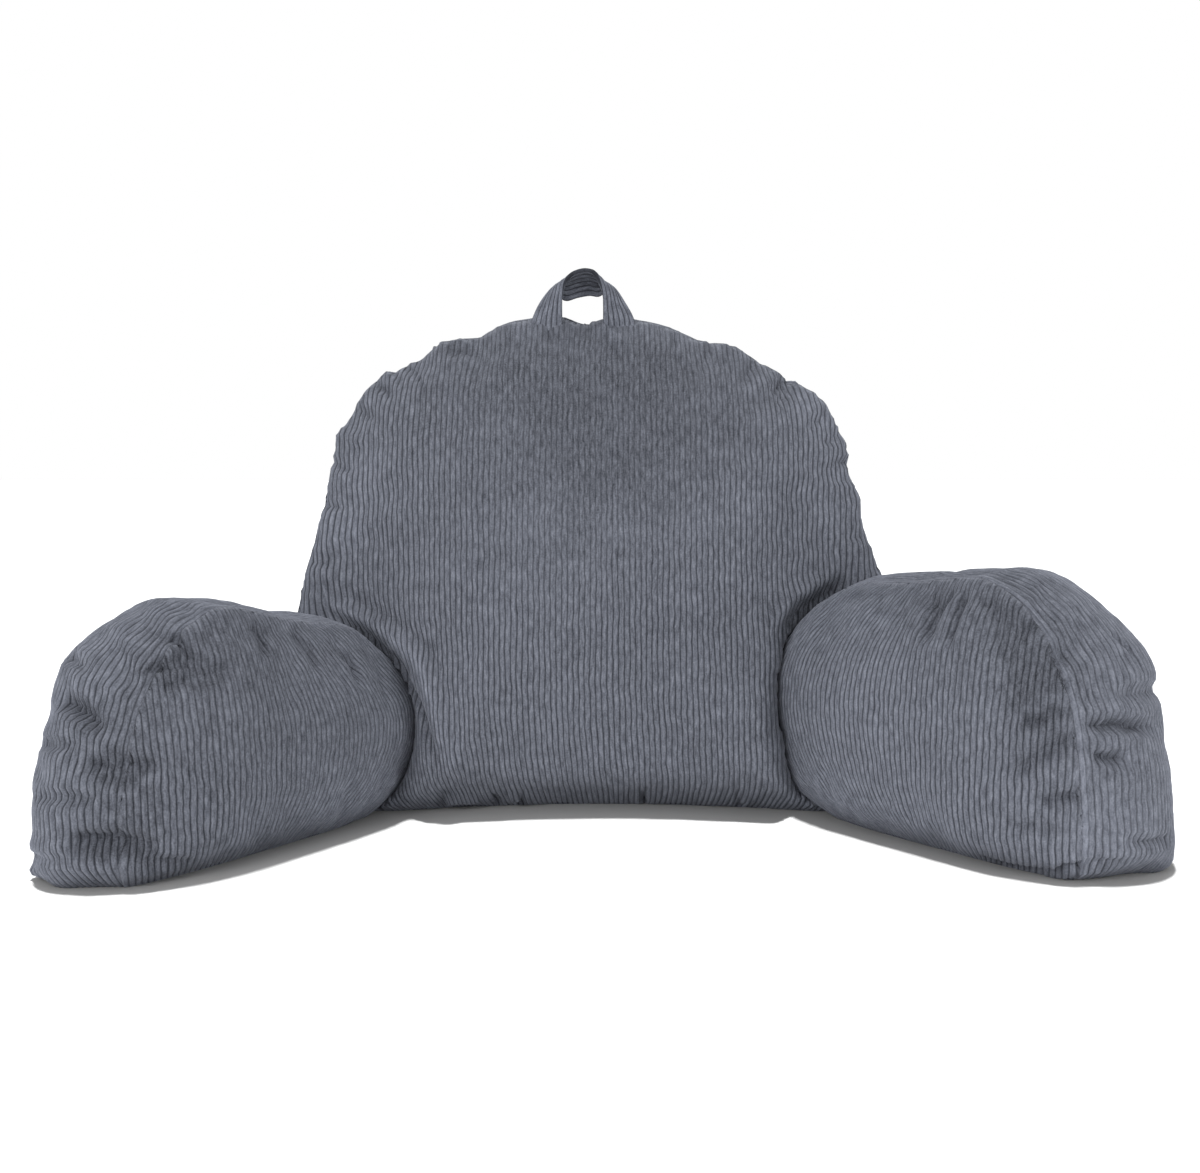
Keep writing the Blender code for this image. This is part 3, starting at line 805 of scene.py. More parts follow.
TUCK_HEIGHT = 24 * MM
TUCK_DEPTH = 12 * MM
GATHER_STRAY, GATHER_STRAY_LENGTH = 0.35, 11 * MM  # how far a gather strays from its place, in gathers
GATHER_JITTER, GATHER_JITTER_LENGTH = 0.3, 4.7 * MM
GATHER_UNEVEN, GATHER_UNEVEN_LENGTH = 0.35, 23 * MM
SIGHT_STEP = 3.0  # pixels from one line of sight to the next
FOLD_REACH = 3.5  # a fold's reach in half widths
FOLD_LIPS = 0.55  # how high the soft lips beside it stand
FOLD_OWN = 0.3  # the share of a fold's push that follows each point's own normal, and not their mean
FOLD_DRAW = 0.15  # how much of its depth a fold draws the cloth together
FOLD_START, FOLD_END, GATHER_END = 0.2, 0.35, 0.6  # the shares of its length over which a fold fades
WORN_MOST = 0.45  # wales never vanish, however flat they are worn
TONE_LEAST = -0.33
FOLD_PAINTED_SHADE = 0.037  # painted shade: how much darker a fold's trough is painted for each millimetre of its depth, and a raised fold lighter


def press_puckers(points, puckers, centre):
    """Draws a gathered seam in towards the cushion's middle at each pucker."""
    for across, height, depth, reach in np.array(puckers, float) * MM:
        away = np.hypot(points[:, 0] - across, points[:, 2] - height)
        aim = centre - points[:, [0, 2]]
        aim /= np.linalg.norm(aim, axis=1)[:, None]
        points[:, [0, 2]] += aim * (depth * bell(away / reach))[:, None]


def gather_seam(points, normals, beside, height, wave, reach):
    """Draws small uneven gathers in beside a seam."""
    run = beside[:, 0]
    stray = GATHER_STRAY * np.sin(run / GATHER_STRAY_LENGTH)
    jitter = GATHER_JITTER * np.sin(run / GATHER_JITTER_LENGTH)
    turn = 2 * math.pi * (run / wave + stray + jitter)
    uneven = 1 - GATHER_UNEVEN + GATHER_UNEVEN * np.sin(run / GATHER_UNEVEN_LENGTH)
    points += normals * (height * np.sin(turn) * uneven * np.exp(-beside[:, 1] / reach))[:, None]


def tuck_under(points):
    """Rolls the cloth's lowest edge under: the sections shrink a little towards the floor."""
    low, high = points.min(0), points.max(0)
    middle, half = (low + high)[:2] / 2, (high - low)[:2] / 2
    share = (1 - np.clip(points[:, 2] / TUCK_HEIGHT, 0, 1)) ** 2
    points[:, :2] -= (points[:, :2] - middle) * (TUCK_DEPTH / half) * share[:, None]


def sight(settings, pixel):
    """The direction in which the camera sees a pixel of the photograph."""
    reach = settings.lens / SENSOR * PHOTO_SIZE[0]
    forward = Vector((0, math.cos(settings.pitch), -math.sin(settings.pitch)))
    upward = Vector((0, math.sin(settings.pitch), math.cos(settings.pitch)))
    across, down = pixel[0] - PHOTO_SIZE[0] / 2, pixel[1] - PHOTO_SIZE[1] / 2
    return (forward * reach + Vector((across, 0, 0)) - upward * down).normalized()


def seen_on(tree, settings, pixels):
    """The line on a piece's surface that shows at these pixels of the photograph."""
    pixels = np.array(pixels, float)
    run = run_along(pixels)
    even = np.arange(0, run[-1] + 1, SIGHT_STEP)
    eye = Vector(settings.eye)
    spots = []
    for mark in zip(*(np.interp(even, run, column) for column in pixels.T)):
        ray = sight(settings, mark)
        spot = tree.ray_cast(eye, ray)[0]
        if spot is None:  # just outside the outline: take the surface beside it
            spot = tree.find_nearest(eye + ray * eye.length)[0]
        spots.append(spot)
    return np.array(spots)


def fold(piece, settings, folds, from_seam=False, tone=FOLD_PAINTED_SHADE):
    """Presses a trough with soft lips along each fold, and paints shade into the trough, or light on a fold
    that stands up.
    """
    tree = surface_tree(piece)
    points, normals = coordinates(piece.data), vertex_normals(piece.data)
    nap = read_attribute(piece.data, "nap")
    for depth, half_width, *pixels in folds:
        line = seen_on(tree, settings, pixels)
        depth, half_width = depth * MM, half_width * MM
        reach = FOLD_REACH * half_width
        near = np.flatnonzero(((points > line.min(0) - reach) & (points < line.max(0) + reach)).all(1))
        away, span, share = nearest_on(line, points[near])
        run = run_along(line)
        place = between(run, span, share) / run[-1]
        ends = smooth_step((1 - place) / (GATHER_END if from_seam else FOLD_END))
        if not from_seam:
            ends *= smooth_step(place / FOLD_START)
        d = away / half_width
        fall = bell(d)
        toward = between(line, span, share) - points[near]
        toward /= np.maximum(away, 1e-9)[:, None]
        inward = -(normals[near] * fall[:, None]).sum(0)
        inward /= np.linalg.norm(inward)
        inward = FOLD_OWN * -normals[near] + (1 - FOLD_OWN) * inward
        points[near] += inward * (depth * ends * (1 - FOLD_LIPS * d**2) * fall)[:, None]
        points[near] += toward * (FOLD_DRAW * abs(depth) * ends * np.minimum(d, 1) * fall)[:, None]
        # painted shade in the trough, painted light where the depth is negative
        nap[near, 0] -= tone * depth / MM * ends * np.exp(-(d**2))
    set_coordinates(piece.data, points)
    write_attribute(piece.data, "nap", nap)


def pull(piece, pulls):
    """Draws the cloth around each place by so many millimetres along the frame's axes."""
    points = coordinates(piece.data)
    for place, radius, way in pulls:
        away = np.linalg.norm(points - np.array(place) * MM, axis=1) / (radius * MM)
        points += bell(away)[:, None] * np.array(way) * MM
    set_coordinates(piece.data, points)


def brush_and_shade(piece, settings, patches):
    """Paints each patch darker or lighter, as pile laid over and as painted shade and light, or wears it
    flat.
    """
    tree = surface_tree(piece)
    points, nap = coordinates(piece.data), read_attribute(piece.data, "nap")
    for across, down, radius, tone, worn in patches:
        spot = seen_on(tree, settings, ((across, down), (across + 1, down)))[0]
        away = np.linalg.norm(points - spot, axis=1) / (radius * MM)
        nap[:, :2] += bell(away)[:, None] * (tone, worn)
    nap[:, 1] = WORN_MOST * np.tanh(nap[:, 1] / WORN_MOST)
    nap[:, 0] = np.maximum(nap[:, 0], TONE_LEAST)
    write_attribute(piece.data, "nap", nap)


HELD_WIDTH, HELD_FADE = 4 * MM, 10 * MM  # a seam holds the cloth beside it over this width, fading
HELD_FLOOR = 3 * MM
CLOTH_SHRINK = -0.02  # negative, so the cloth grows a little
CLOTH_BENDING = 1.5
NEIGHBOURS = 8  # how many cloth points carry a fine one
SUNK_PILE = 0.7  # the share of a wale's height that lies below the cushion's surface
WORN_LIMIT = 0.8


def settled(node, seams, settings):
    """Fills a remeshed copy of the solid as cloth under pressure, held at its seams and its underside.

    Returns where its points were and how far each went.
    """
    mesh = frame["nodes"][node].data.copy()
    mend(mesh, weld=True)
    proxy = set_down("filling_" + node, mesh)
    remesh = proxy.modifiers.new("even_cloth", "REMESH")
    remesh.mode = "VOXEL"
    remesh.voxel_size = settings.voxel
    graph = bpy.context.evaluated_depsgraph_get()
    even = bpy.data.meshes.new_from_object(proxy.evaluated_get(graph))
    proxy.modifiers.clear()
    proxy.data = even
    before = coordinates(even)

    tree = point_tree(seams)
    held = proxy.vertex_groups.new(name="held")
    for k, point in enumerate(before):
        away = tree.find(point)[2]
        hold = 1 - smooth_step((away - HELD_WIDTH) / HELD_FADE)
        if point[2] < HELD_FLOOR:
            hold = 1
        if hold > 0:
            held.add([k], float(hold), "REPLACE")

    cloth = proxy.modifiers.new("filling", "CLOTH")
    cloth.settings.vertex_group_mass = held.name
    cloth.settings.use_pressure = True
    cloth.settings.uniform_pressure_force = settings.pressure
    cloth.settings.effector_weights.gravity = 0
    cloth.settings.shrink_min = CLOTH_SHRINK
    cloth.settings.bending_stiffness = CLOTH_BENDING
    cloth.collision_settings.use_collision = False
    cloth.point_cache.frame_end = settings.frames
    scene = bpy.context.scene
    for step in range(1, settings.frames + 1):
        scene.frame_set(step)
    moved = proxy.evaluated_get(bpy.context.evaluated_depsgraph_get())
    after = coordinates(moved.data)
    bpy.data.objects.remove(proxy)
    scene.frame_set(1)
    move = after - before
    length = np.linalg.norm(move, axis=1)[:, None]
    return before, move * np.minimum(1, settings.most_move / np.maximum(length, 1e-9))


def carry(points, before, move, reach=9 * MM):
    """Moves fine points with the simulated cloth near them."""
    tree = point_tree(before)
    for k, point in enumerate(points):
        near = tree.find_n(point, NEIGHBOURS)
        weights = np.array([math.exp(-0.5 * (gap / reach) ** 2) for _, _, gap in near]) + 1e-12
        points[k] += weights @ move[[index for _, index, _ in near]] / weights.sum()


def raise_wales(piece, height):
    """Lifts the pile of each wale off the ground weave, along the cushion's surface normals."""
    points, pile = coordinates(piece.data), read_attribute(piece.data, "fabric")[:, 2]
    worn = np.clip(read_attribute(piece.data, "nap")[:, 1], 0, WORN_LIMIT)
    lift = height * (pile - SUNK_PILE * (pile > 0)) * (1 - worn)
    points += vertex_normals(piece.data) * lift[:, None]
    points[:, 2] = np.maximum(points[:, 2], 0)
    set_coordinates(piece.data, points)


# Material

TUFT_WIDTH = 2.4 * MM
STREAK_LENGTH = 10 * MM
# The patterns in the pile, each: size, detail, roughness, and how much darker or lighter it makes the pile
PATTERNS = {
    "streaks": (TUFT_WIDTH, 2.0, 0.6, 0.95),
    "stroked": (30 * MM, 3.0, 0.55, 0.4),
    "broad": (110 * MM, 1.0, 0.5, 0.22),
    "grain": (1.5 * MM, 2.0, 0.75, 1.2),
}
GROOVE_EDGE = 0.72  # how high up a wale's side the groove's darker colour, partly painted shade, reaches
CRUSHED, CRUSHED_CONTRAST = 0.5, 2.2  # how much of the pile is brushed, and how sharply it changes
BUMP_STRENGTH, FIBRE_HEIGHT, TUFT_HEIGHT = 0.5, 0.5 * MM, 0.8 * MM


def add_node(tree, kind, links=(), **settings):
    """Adds a node with its settings, then its inputs: (input, value or output socket)."""
    node = tree.nodes.new(kind)
    for name, value in settings.items():
        setattr(node, name, value)
    for socket, value in links:
        if isinstance(value, bpy.types.NodeSocket):
            tree.links.new(value, node.inputs[socket])
        else:
            node.inputs[socket].default_value = value
    return node


def cotton_corduroy(name, settings):
    """Cotton corduroy, woven with a pile that is cut and brushed.

    The eye gets rounded ribs with a soft dark line between them, mottled by tufts and fibre ends,
    broad patches where the pile has been stroked one way or the other, and a dusty bloom on the
    turned edges. Fibre ends are drawn twice as coarse as real ones, so that they show.
    """
    material = bpy.data.materials.new(name)
    material.use_nodes = True
    tree = material.node_tree
    shader = tree.nodes["Principled BSDF"]
    fabric = add_node(tree, "ShaderNodeAttribute", attribute_name="fabric").outputs["Vector"]
    parts = add_node(tree, "ShaderNodeSeparateXYZ", [(0, fabric)]).outputs
    nap = add_node(tree, "ShaderNodeAttribute", attribute_name="nap").outputs["Vector"]
    nap = add_node(tree, "ShaderNodeSeparateXYZ", [(0, nap)]).outputs
    place = add_node(tree, "ShaderNodeTexCoord").outputs["Object"]

    def reckon(operation, *values):
        return add_node(tree, "ShaderNodeMath", list(enumerate(values)), operation=operation).outputs[0]

    def noise(vector, size, detail, roughness):
        node = add_node(tree, "ShaderNodeTexNoise", [
            ("Vector", vector), ("Scale", 1 / size), ("Detail", detail), ("Roughness", roughness)])
        return reckon("SUBTRACT", node.outputs["Fac"], 0.5)

    # Across one wale: 0 in the middle of the groove, 1 on the crest
    crest = reckon("ABSOLUTE", reckon("SINE", reckon("MULTIPLY", parts[0], math.pi)))
    rib = add_node(tree, "ShaderNodeMapRange", [
        ("Value", crest), ("From Min", 0.0), ("From Max", GROOVE_EDGE)],
        interpolation_type="SMOOTHSTEP").outputs[0]
    worn = reckon("MULTIPLY", reckon("SUBTRACT", 1.0, rib), nap[1])
    rib = reckon("ADD", rib, worn)

    # Tufts lie beside one another along a wale, so their pattern follows the cloth
    tufted = add_node(tree, "ShaderNodeCombineXYZ", [
        (0, reckon("MULTIPLY", parts[0], settings.wale_pitch)),
        (1, reckon("MULTIPLY", parts[1], TUFT_WIDTH / STREAK_LENGTH))]).outputs[0]
    # the attribute's tone: pile laid over, painted shade in folds, joints, along the feet and under the loop,
    # and painted light on welts and lit spots
    tone = reckon("ADD", 1.0, nap[0])
    pattern = {}
    for kind, (size, detail, roughness, share) in PATTERNS.items():
        pattern[kind] = noise(tufted if kind == "streaks" else place, size, detail, roughness)
        tone = reckon("MULTIPLY_ADD", pattern[kind], share, tone)
    pile = add_node(tree, "ShaderNodeMix", [
        (0, reckon("ADD", CRUSHED, reckon("MULTIPLY", pattern["streaks"], CRUSHED_CONTRAST))),
        (6, (*settings.rib_colour, 1)), (7, (*settings.crushed_colour, 1))], data_type="RGBA")
    # the groove's colour: the ground weave, with painted shade between the wales
    colour = add_node(tree, "ShaderNodeMix", [
        (0, rib), (6, (*settings.groove_colour_and_shade, 1)), (7, pile.outputs[2])], data_type="RGBA").outputs[2]
    toned = add_node(tree, "ShaderNodeVectorMath", [(0, colour), (3, tone)], operation="SCALE").outputs[0]
    tree.links.new(toned, shader.inputs["Base Color"])

    fibres = add_node(tree, "ShaderNodeBump", [
        ("Height", pattern["grain"]), ("Strength", BUMP_STRENGTH), ("Distance", FIBRE_HEIGHT)]).outputs[0]
    tufts = add_node(tree, "ShaderNodeBump", [
        ("Height", pattern["streaks"]), ("Strength", BUMP_STRENGTH), ("Distance", TUFT_HEIGHT),
        ("Normal", fibres)]).outputs[0]
    tree.links.new(tufts, shader.inputs["Normal"])
    shader.inputs["Roughness"].default_value = 0.95
    shader.inputs["Specular IOR Level"].default_value = 0.12
    shader.inputs["Sheen Weight"].default_value = 0.3
    shader.inputs["Sheen Roughness"].default_value = 0.5
    shader.inputs["Sheen Tint"].default_value = (*linear("C4C9D6"), 1)
    return material


def finish_cushion(piece, node, material):
    """Gives a cushion its cloth, seats it on the pillow's body and puts it in its solid's place."""
    piece.data.materials.append(material)
    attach(piece, "root")
    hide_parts(node)


# The arms


def arm_form(outline, floor_width, foot, along, outward, curl, welt):
    top = smooth_curve(outline)[:, 1].max()
    front = smooth_curve(outline)[:, 0].max()
    foot, along, outward = (np.array(v, float) for v in (foot, along, outward))

    def seams(_, height):
        return np.zeros_like(height), floor_width - (floor_width - ARM_BOXING_TOP) * (height / top) ** 2

    def bulge(out):
        forward, rearward = np.clip(out[:, 0], 0, 1), np.clip(-out[:, 0], 0, 1)
        upward = np.clip(out[:, 1], 0, 1)
        return ARM_BULGE_FRONT * forward + ARM_BULGE_REAR * rearward + ARM_BULGE_TOP * upward

    def to_frame(points):
        """The outer panel stands a little further forward and lower, and the arm is splayed."""
        outer = np.clip(points[:, 1] / floor_width, 0, 1)
        ahead = np.clip(points[:, 0] / front, 0, 1)
        length = points[:, 0] + ARM_OUTER_REACH * outer * ahead * (1 - (points[:, 2] / top) ** 2)
        level = foot * MM + CENTRE_SHIFT + length[:, None] * along + points[:, 1:2] * outward
        return np.column_stack([level, points[:, 2] * (1 - ARM_OUTER_DROP * outer)])

    return Form(outline, ARM_FILLING, seams, bulge, to_frame, follow=0.9, curl=curl, welt=welt)


ARMS = {
    "arm_right": {
        "cut": {
            "outline": RIGHT_ARM_OUTLINE, "floor_width": 111 * MM, "foot": (199, -22),
            "along": (0.65, -0.76), "outward": (0.76, 0.65), "curl": 1.4 * MM, "welt": 1.25},
        "swells": RIGHT_ARM_SWELLS, "pulls": RIGHT_ARM_PULLS,
        "folds": RIGHT_ARM_FOLDS, "patches": RIGHT_ARM_PATCHES,
    },
    "arm_left": {
        "cut": {
            "outline": LEFT_ARM_OUTLINE, "floor_width": 92 * MM, "foot": (-202, -18),
            "along": (-0.6, -0.8), "outward": (-0.8, 0.6), "curl": 2.5 * MM, "welt": 0.15},
        "swells": LEFT_ARM_SWELLS, "pulls": LEFT_ARM_PULLS,
        "folds": LEFT_ARM_FOLDS, "patches": LEFT_ARM_PATCHES,
    },
}


def seam_points(form):
    """The two seams' points over the dome, on the pillow."""
    rim = form.loop[form.on_rim]
    lines = [np.column_stack([rim[:, 0], form.seams(*rim.T)[side], rim[:, 1]]) for side in (0, 1)]
    return form.to_frame(np.vstack(lines))


ON_FLOOR = 1e-6
FLOOR_GAP = 0.4 * MM  # the rest of the cloth stays this far off the floor


def fill_cushion(piece, form, node, settings, uneven, waves, puckers=()):
    """Shapes a sewn cushion in its own frame, sets it on the pillow, then lets it settle as cloth."""
    mesh = piece.data
    points = coordinates(mesh)
    normals = vertex_normals(mesh)
    on_floor = points[:, 2] < ON_FLOOR
    height, length = uneven
    points += normals * (height * ripple(points[:, 0], points[:, 2], length))[:, None]
    gather_seam(points, normals, read_attribute(mesh, "beside_seam"), *waves)
    press_puckers(points, puckers, BACK_MIDDLE)
    mesh.attributes.remove(mesh.attributes["beside_seam"])
    points[:, 2] = np.where(on_floor, 0, points[:, 2])
    tuck_under(points)
    points = form.to_frame(points)
    before, move = settled(node, seam_points(form), settings)
    carry(points, before, move)
    points[:, 2] = np.where(on_floor, 0, np.maximum(points[:, 2], FLOOR_GAP))
    set_coordinates(mesh, points)
    mend(mesh, outwards=True)


class PILLOW_OT_arms(bpy.types.Operator):
    """Sew, fill and crease the two boxed arms"""
    bl_idname = "pillow.arms"
    bl_label = "Arms"

    def execute(self, context):
        cloth, cushion = context.scene.pillow_corduroy, context.scene.pillow_cushion
        view = context.scene.pillow_stage
        material = cotton_corduroy("cotton_corduroy_arms", cloth)
        for name, arm in ARMS.items():
            form = arm_form(**arm["cut"])
            form.set_stations(*ARM_STATIONS)
            piece = sewn_cushion(
                "corduroy_" + name, form, cloth.wale_pitch, ARM_ROWS * cloth.row_length,
                ARM_SEAM_SHARE * cushion.seam_depth)
            piece["arm_node"] = name
            fill_cushion(piece, form, name, cushion, ARM_UNEVEN, ARM_SEAM_WAVES)
            fold(piece, view, arm["swells"], from_seam=True, tone=0)
            pull(piece, arm["pulls"])
            fold(piece, view, arm["folds"])
            brush_and_shade(piece, view, arm["patches"])
            raise_wales(piece, cloth.wale_height)
            finish_cushion(piece, name, material)
        return {"FINISHED"}


# The back


def back_form():
    outline = [(row[1], row[0]) for row in BACK_OUTLINE] + [BACK_TOP]
    outline += [(row[2], row[0]) for row in reversed(BACK_OUTLINE)]

    def seams(across, height):
        rise = np.clip(height / BACK_HEIGHT, 0, 1)
        toe_in = BACK_TOE_IN * np.minimum(np.abs(across) / BACK_TOE_SPREAD, 1) ** 2
        toe_in *= 1 - smooth_step(rise * 2)
        front = BACK_SEAM_FRONT - toe_in + BACK_LEAN_FRONT * rise**BACK_LEAN_CURVE
        return front, BACK_SEAM_REAR + BACK_LEAN_REAR * rise

    def bulge(out):
        return np.where(out[:, 1] > BACK_TOP_FACING, BACK_BULGE_TOP, BACK_BULGE_SIDE)

    def to_frame(points):
        return points + (*CENTRE_SHIFT, 0)

    def lean(flat):
        """Low on the panel the wales slant outwards, more on the left, and they drape over the left arm."""
        low = 1 - np.clip(flat[:, 1] / BACK_LEAN_HEIGHT, 0, 1)
        lean = BACK_LEAN * low**2 * np.interp(flat[:, 0], BACK_LEAN_PLACES, BACK_LEAN_SHARES)
        beside = np.exp(-(((flat[:, 0] - DRAPE_AT[0]) / DRAPE_SPREAD) ** 2))
        return lean + DRAPE * beside * smooth_step((DRAPE_AT[1] - flat[:, 1]) / DRAPE_DROP)

    return Form(outline, BACK_FILLING, seams, bulge, to_frame, lean, welt=0.5, rolled=True)


def pressed_in(points, arms):
    """The back's points, with the cloth pressed in wherever an arm is pushed against it."""
    points = points.copy()
    for arm in arms:
        tree = surface_tree(arm)
        low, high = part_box(arm["arm_node"])
        side = 1 if low.x > 0 else -1
        inner = min(abs(low.x), abs(high.x))
        reached = (points[:, 0] * side > inner - PRESS_INSIDE) & (points[:, 1] < high.y + PRESS_BEHIND)
        reached &= points[:, 2] < high.z + PRESS_ABOVE
        front = reached & (points[:, 0] * side < inner + PRESS_FRONT)
        for near, (sideways, back) in ((reached, PRESS_WAY), (front, PRESS_FRONT_WAY)):
            inward = Vector((sideways * side, back, 0)).normalized()
            for k in np.flatnonzero(near):
                inside = Vector(points[k]) + inward * PRESS_DEEP
                spot = tree.ray_cast(inside, -inward, PRESS_DEEP + PRESS_GAP)[0]
                if spot is not None:
                    points[k] = spot + inward * PRESS_GAP
    return points


def press_back(piece, arms, roll=False):
    """Presses the back in under its arms, and on asking with a soft roll of cloth round each dent."""
    start = coordinates(piece.data)
    points = pressed_in(start, arms)
    if roll:
        move = points - start
        far = np.linalg.norm(move, axis=1)
        pressed = np.flatnonzero(far > PRESS_LEAST)
        tree = point_tree(start[pressed])
        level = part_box(arms[-1]["arm_node"])[1].z + ROLL_ABOVE
        for k in np.flatnonzero((far <= PRESS_LEAST) & (start[:, 2] < level)):
            _, place, away = tree.find(start[k])
            if away < ROLL_WIDTH:
                points[k] += move[pressed[place]] * (1 - away / ROLL_WIDTH) ** 2 * ROLL_SHARE
    points[:, 2] = np.maximum(points[:, 2], 0)
    set_coordinates(piece.data, points)


class PILLOW_OT_back(bpy.types.Operator):
    """Sew, fill and gather the domed back"""
    bl_idname = "pillow.back"
    bl_label = "Back"

    def execute(self, context):
        cloth, cushion = context.scene.pillow_corduroy, context.scene.pillow_cushion
        view = context.scene.pillow_stage
        form = back_form()
        form.set_stations(*BACK_STATIONS)
        seam_depth = BACK_SEAM_SHARE * cushion.seam_depth
        piece = sewn_cushion("corduroy_back", form, cloth.wale_pitch, cloth.row_length, seam_depth)
        fill_cushion(piece, form, "back_cushion", cushion, BACK_UNEVEN, BACK_SEAM_WAVES, BACK_PUCKERS)
        arms = [thing for thing in context.scene.objects if "arm_node" in thing]
        press_back(piece, arms, roll=True)
        fold(piece, view, BACK_FOLDS)
        fold(piece, view, BACK_GATHERS, from_seam=True)
        brush_and_shade(piece, view, BACK_PATCHES)
        raise_wales(piece, cloth.wale_height)
        press_back(piece, arms)
        material = cotton_corduroy("cotton_corduroy_back", cloth)
        finish_cushion(piece, "back_cushion", material)
        return {"FINISHED"}


# The carry loop


STRAP_STATIONS = 120
STRAP_COLUMNS = 28
STRAP_WALES = 6
STRAP_PILE = 0.6  # its wales are rubbed lower than the cushions'
STITCH_DEPTH = 1 * MM
STITCH_WIDTH = 0.8 * MM
STRAP_SHADE = 0.6  # painted shade: the pile under the loop's arch is painted darker where it faces down
STRAP_ARCH_FOOT, STRAP_ARCH_FADE = 478 * MM, 12 * MM


class PILLOW_OT_loop(bpy.types.Operator):
    """Fold and sew the strap that the pillow is carried by"""
    bl_idname = "pillow.loop"
    bl_label = "Carry loop"

    def execute(self, context):
        cloth, strap = context.scene.pillow_corduroy, context.scene.pillow_strap
        rows = np.array(STRAP_ROWS, float)
        front, rear = (smooth_curve(rows[:, k:k + 3]) for k in (0, 3))
        pick = np.linspace(0, len(front) - 1, STRAP_STATIONS + 1)
        front, rear = (
            np.stack([np.interp(pick, range(len(edge)), column) for column in edge.T], axis=1)
            for edge in (front, rear))
        along = run_along((front + rear) / 2)
        width = np.linalg.norm(rear - front, axis=1)

        bm = bmesh.new()
        bmesh.ops.create_grid(bm, x_segments=STRAP_STATIONS, y_segments=STRAP_COLUMNS, size=1)
        layer = bm.verts.layers.float_vector.new("fabric")
        for vertex in bm.verts:
            station = round((vertex.co.x + 1) / 2 * STRAP_STATIONS)
            share = (vertex.co.y + 1) / 2
            vertex[layer] = (share * STRAP_WALES, along[station], station)
            vertex.co = Vector(front[station] * (1 - share) + rear[station] * share)
            vertex.co += Vector((*CENTRE_SHIFT, 0))
        bm.normal_update()
        root = min(bm.verts, key=lambda v: v.co.z)
        if root.normal.y > 0:
            bmesh.ops.reverse_faces(bm, faces=bm.faces)
            bm.normal_update()
        for vertex in bm.verts:
            share = vertex[layer].x / STRAP_WALES
            vertex.co += vertex.normal * (strap.arch * 4 * share * (1 - share))
        bm.normal_update()
        bmesh.ops.solidify(bm, geom=bm.faces, thickness=strap.thickness)
        bmesh.ops.recalc_face_normals(bm, faces=bm.faces)
        bm.normal_update()
        lifts = []
        for vertex in bm.verts:
            station = round(vertex[layer].z)
            across = vertex[layer].x / STRAP_WALES * width[station]
            from_edge = min(across, width[station] - across)
            wale = abs(math.sin(math.pi * vertex[layer].x)) * cloth.wale_height
            stitched = STITCH_DEPTH * bell((from_edge - strap.hem) / STITCH_WIDTH)
            lifts.append(STRAP_PILE * wale * min(1, from_edge / strap.hem) - stitched)
        for vertex, lift in zip(bm.verts, lifts):
            vertex.co += vertex.normal * lift
        mesh = bpy.data.meshes.new("corduroy_loop")
        bm.to_mesh(mesh)
        bm.free()
        mesh.shade_smooth()
        piece = set_down("corduroy_loop", mesh)
        # painted shade under the arch, on the faces that look down
        in_arch = smooth_step((coordinates(mesh)[:, 2:] - STRAP_ARCH_FOOT) / STRAP_ARCH_FADE)
        below = np.clip(-vertex_normals(mesh)[:, 2:], 0, 1) * in_arch
        write_attribute(mesh, "nap", below * (-STRAP_SHADE, 0, 0))
        mesh.materials.append(cotton_corduroy("cotton_corduroy_strap", cloth))
        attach(piece, "root")
        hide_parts("handle_strap")
        return {"FINISHED"}


# The stage

LAMPS = {"key": ((-1.4, -1.7, 1.2), 0.9), "side": ((1.8, -1.4, 0.7), 0.9), "overhead": ((0.2, 0.5, 2.4), 1.6)}
PAPER_ROUGHNESS = 0.9
FLOOR_HALF = 20
FLOOR_LIGHT_PLACE = (-0.14, 0.18, 2.5)
FLOOR_LIGHT_ANGLE = math.radians(5)
PILLOW_MIDDLE = (0, 0, 0.22)


def hang_lamp(name, light, place, target):
    lamp = set_down(name, light)
    lamp.location = place
    lamp.rotation_euler = (Vector(target) - Vector(place)).to_track_quat("-Z", "Y").to_euler()
    return lamp


def area_light(name, place, size, power):
    light = bpy.data.lights.new(name, "AREA")
    light.shape = "DISK"
    light.size = size
    light.energy = power
    hang_lamp(name, light, place, PILLOW_MIDDLE)


def floor_light(floor, strength):
    """Lights the floor alone, from above and a little behind, so that it is white with a dark shadow."""
    light = bpy.data.lights.new("floor_light", "SUN")
    light.energy = strength
    light.angle = FLOOR_LIGHT_ANGLE
    lamp = hang_lamp("floor_light", light, FLOOR_LIGHT_PLACE, (0, 0, 0))
    lit = bpy.data.collections.new("lit_floor")
    lit.objects.link(floor)
    lamp.light_linking.receiver_collection = lit


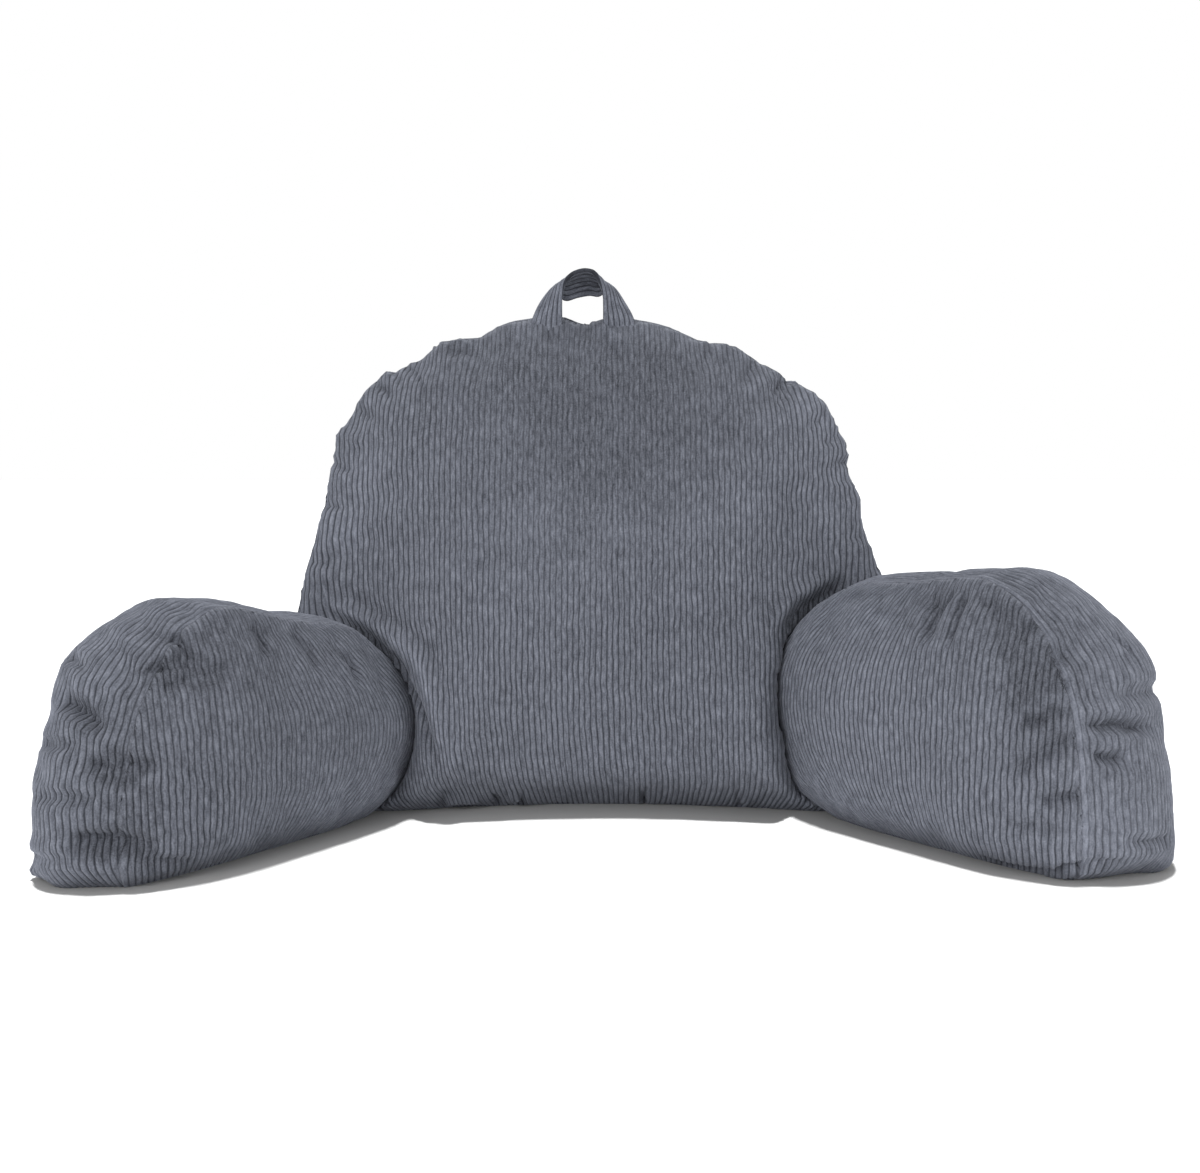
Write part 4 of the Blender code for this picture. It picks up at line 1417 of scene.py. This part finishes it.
class PILLOW_OT_stage(bpy.types.Operator):
    """Lay the floor, light it and set the camera"""
    bl_idname = "pillow.stage"
    bl_label = "Stage"

    def execute(self, context):
        scene, settings = context.scene, context.scene.pillow_stage
        bm = bmesh.new()
        bmesh.ops.create_grid(bm, x_segments=1, y_segments=1, size=FLOOR_HALF)
        mesh = bpy.data.meshes.new("studio_floor")
        bm.to_mesh(mesh)
        bm.free()
        floor = set_down("studio_floor", mesh)
        paper = bpy.data.materials.new("matt_backdrop_paper")
        paper.use_nodes = True
        shader = paper.node_tree.nodes["Principled BSDF"]
        shader.inputs["Base Color"].default_value = (*settings.floor_colour, 1)
        shader.inputs["Roughness"].default_value = PAPER_ROUGHNESS
        mesh.materials.append(paper)

        world = bpy.data.worlds.new("studio")
        world.use_nodes = True
        world.node_tree.nodes["Background"].inputs["Color"].default_value = (*settings.backdrop, 1)
        scene.world = world
        for name, (place, size) in LAMPS.items():
            area_light(name, place, size, getattr(settings, name))
        floor_light(floor, settings.floor_light)

        camera = set_down("camera", bpy.data.cameras.new("camera"))
        camera.data.lens = settings.lens
        camera.data.sensor_width = SENSOR
        camera.location = settings.eye
        camera.rotation_euler = (math.pi / 2 - settings.pitch, 0, 0)
        scene.camera = camera
        scene.view_settings.view_transform = "Standard"
        return {"FINISHED"}


class PILLOW_PT_panel(bpy.types.Panel):
    """Lists the pillow's pieces in the order that they are made"""
    bl_label = "Reading pillow"
    bl_idname = "PILLOW_PT_panel"
    bl_space_type = "VIEW_3D"
    bl_region_type = "UI"
    bl_category = "Pillow"

    def draw(self, context):
        for operator in OPERATORS:
            self.layout.operator(operator.bl_idname)
        for name, group in SETTINGS.items():
            for prop in group.__annotations__:
                self.layout.prop(getattr(context.scene, name), prop)


SETTINGS = {
    "pillow_corduroy": CorduroySettings,
    "pillow_cushion": CushionSettings,
    "pillow_strap": StrapSettings,
    "pillow_stage": StageSettings,
}
OPERATORS = (PILLOW_OT_arms, PILLOW_OT_back, PILLOW_OT_loop, PILLOW_OT_stage)


def register():
    for cls in (*SETTINGS.values(), *OPERATORS, PILLOW_PT_panel):
        bpy.utils.register_class(cls)
    for name, group in SETTINGS.items():
        setattr(bpy.types.Scene, name, PointerProperty(type=group))


def unregister():
    for name in SETTINGS:
        delattr(bpy.types.Scene, name)
    for cls in reversed((*SETTINGS.values(), *OPERATORS, PILLOW_PT_panel)):
        bpy.utils.unregister_class(cls)


def main():
    register()
    bpy.ops.pillow.arms()
    bpy.ops.pillow.back()
    bpy.ops.pillow.loop()
    bpy.ops.pillow.stage()


if __name__ == "__main__":
    main()
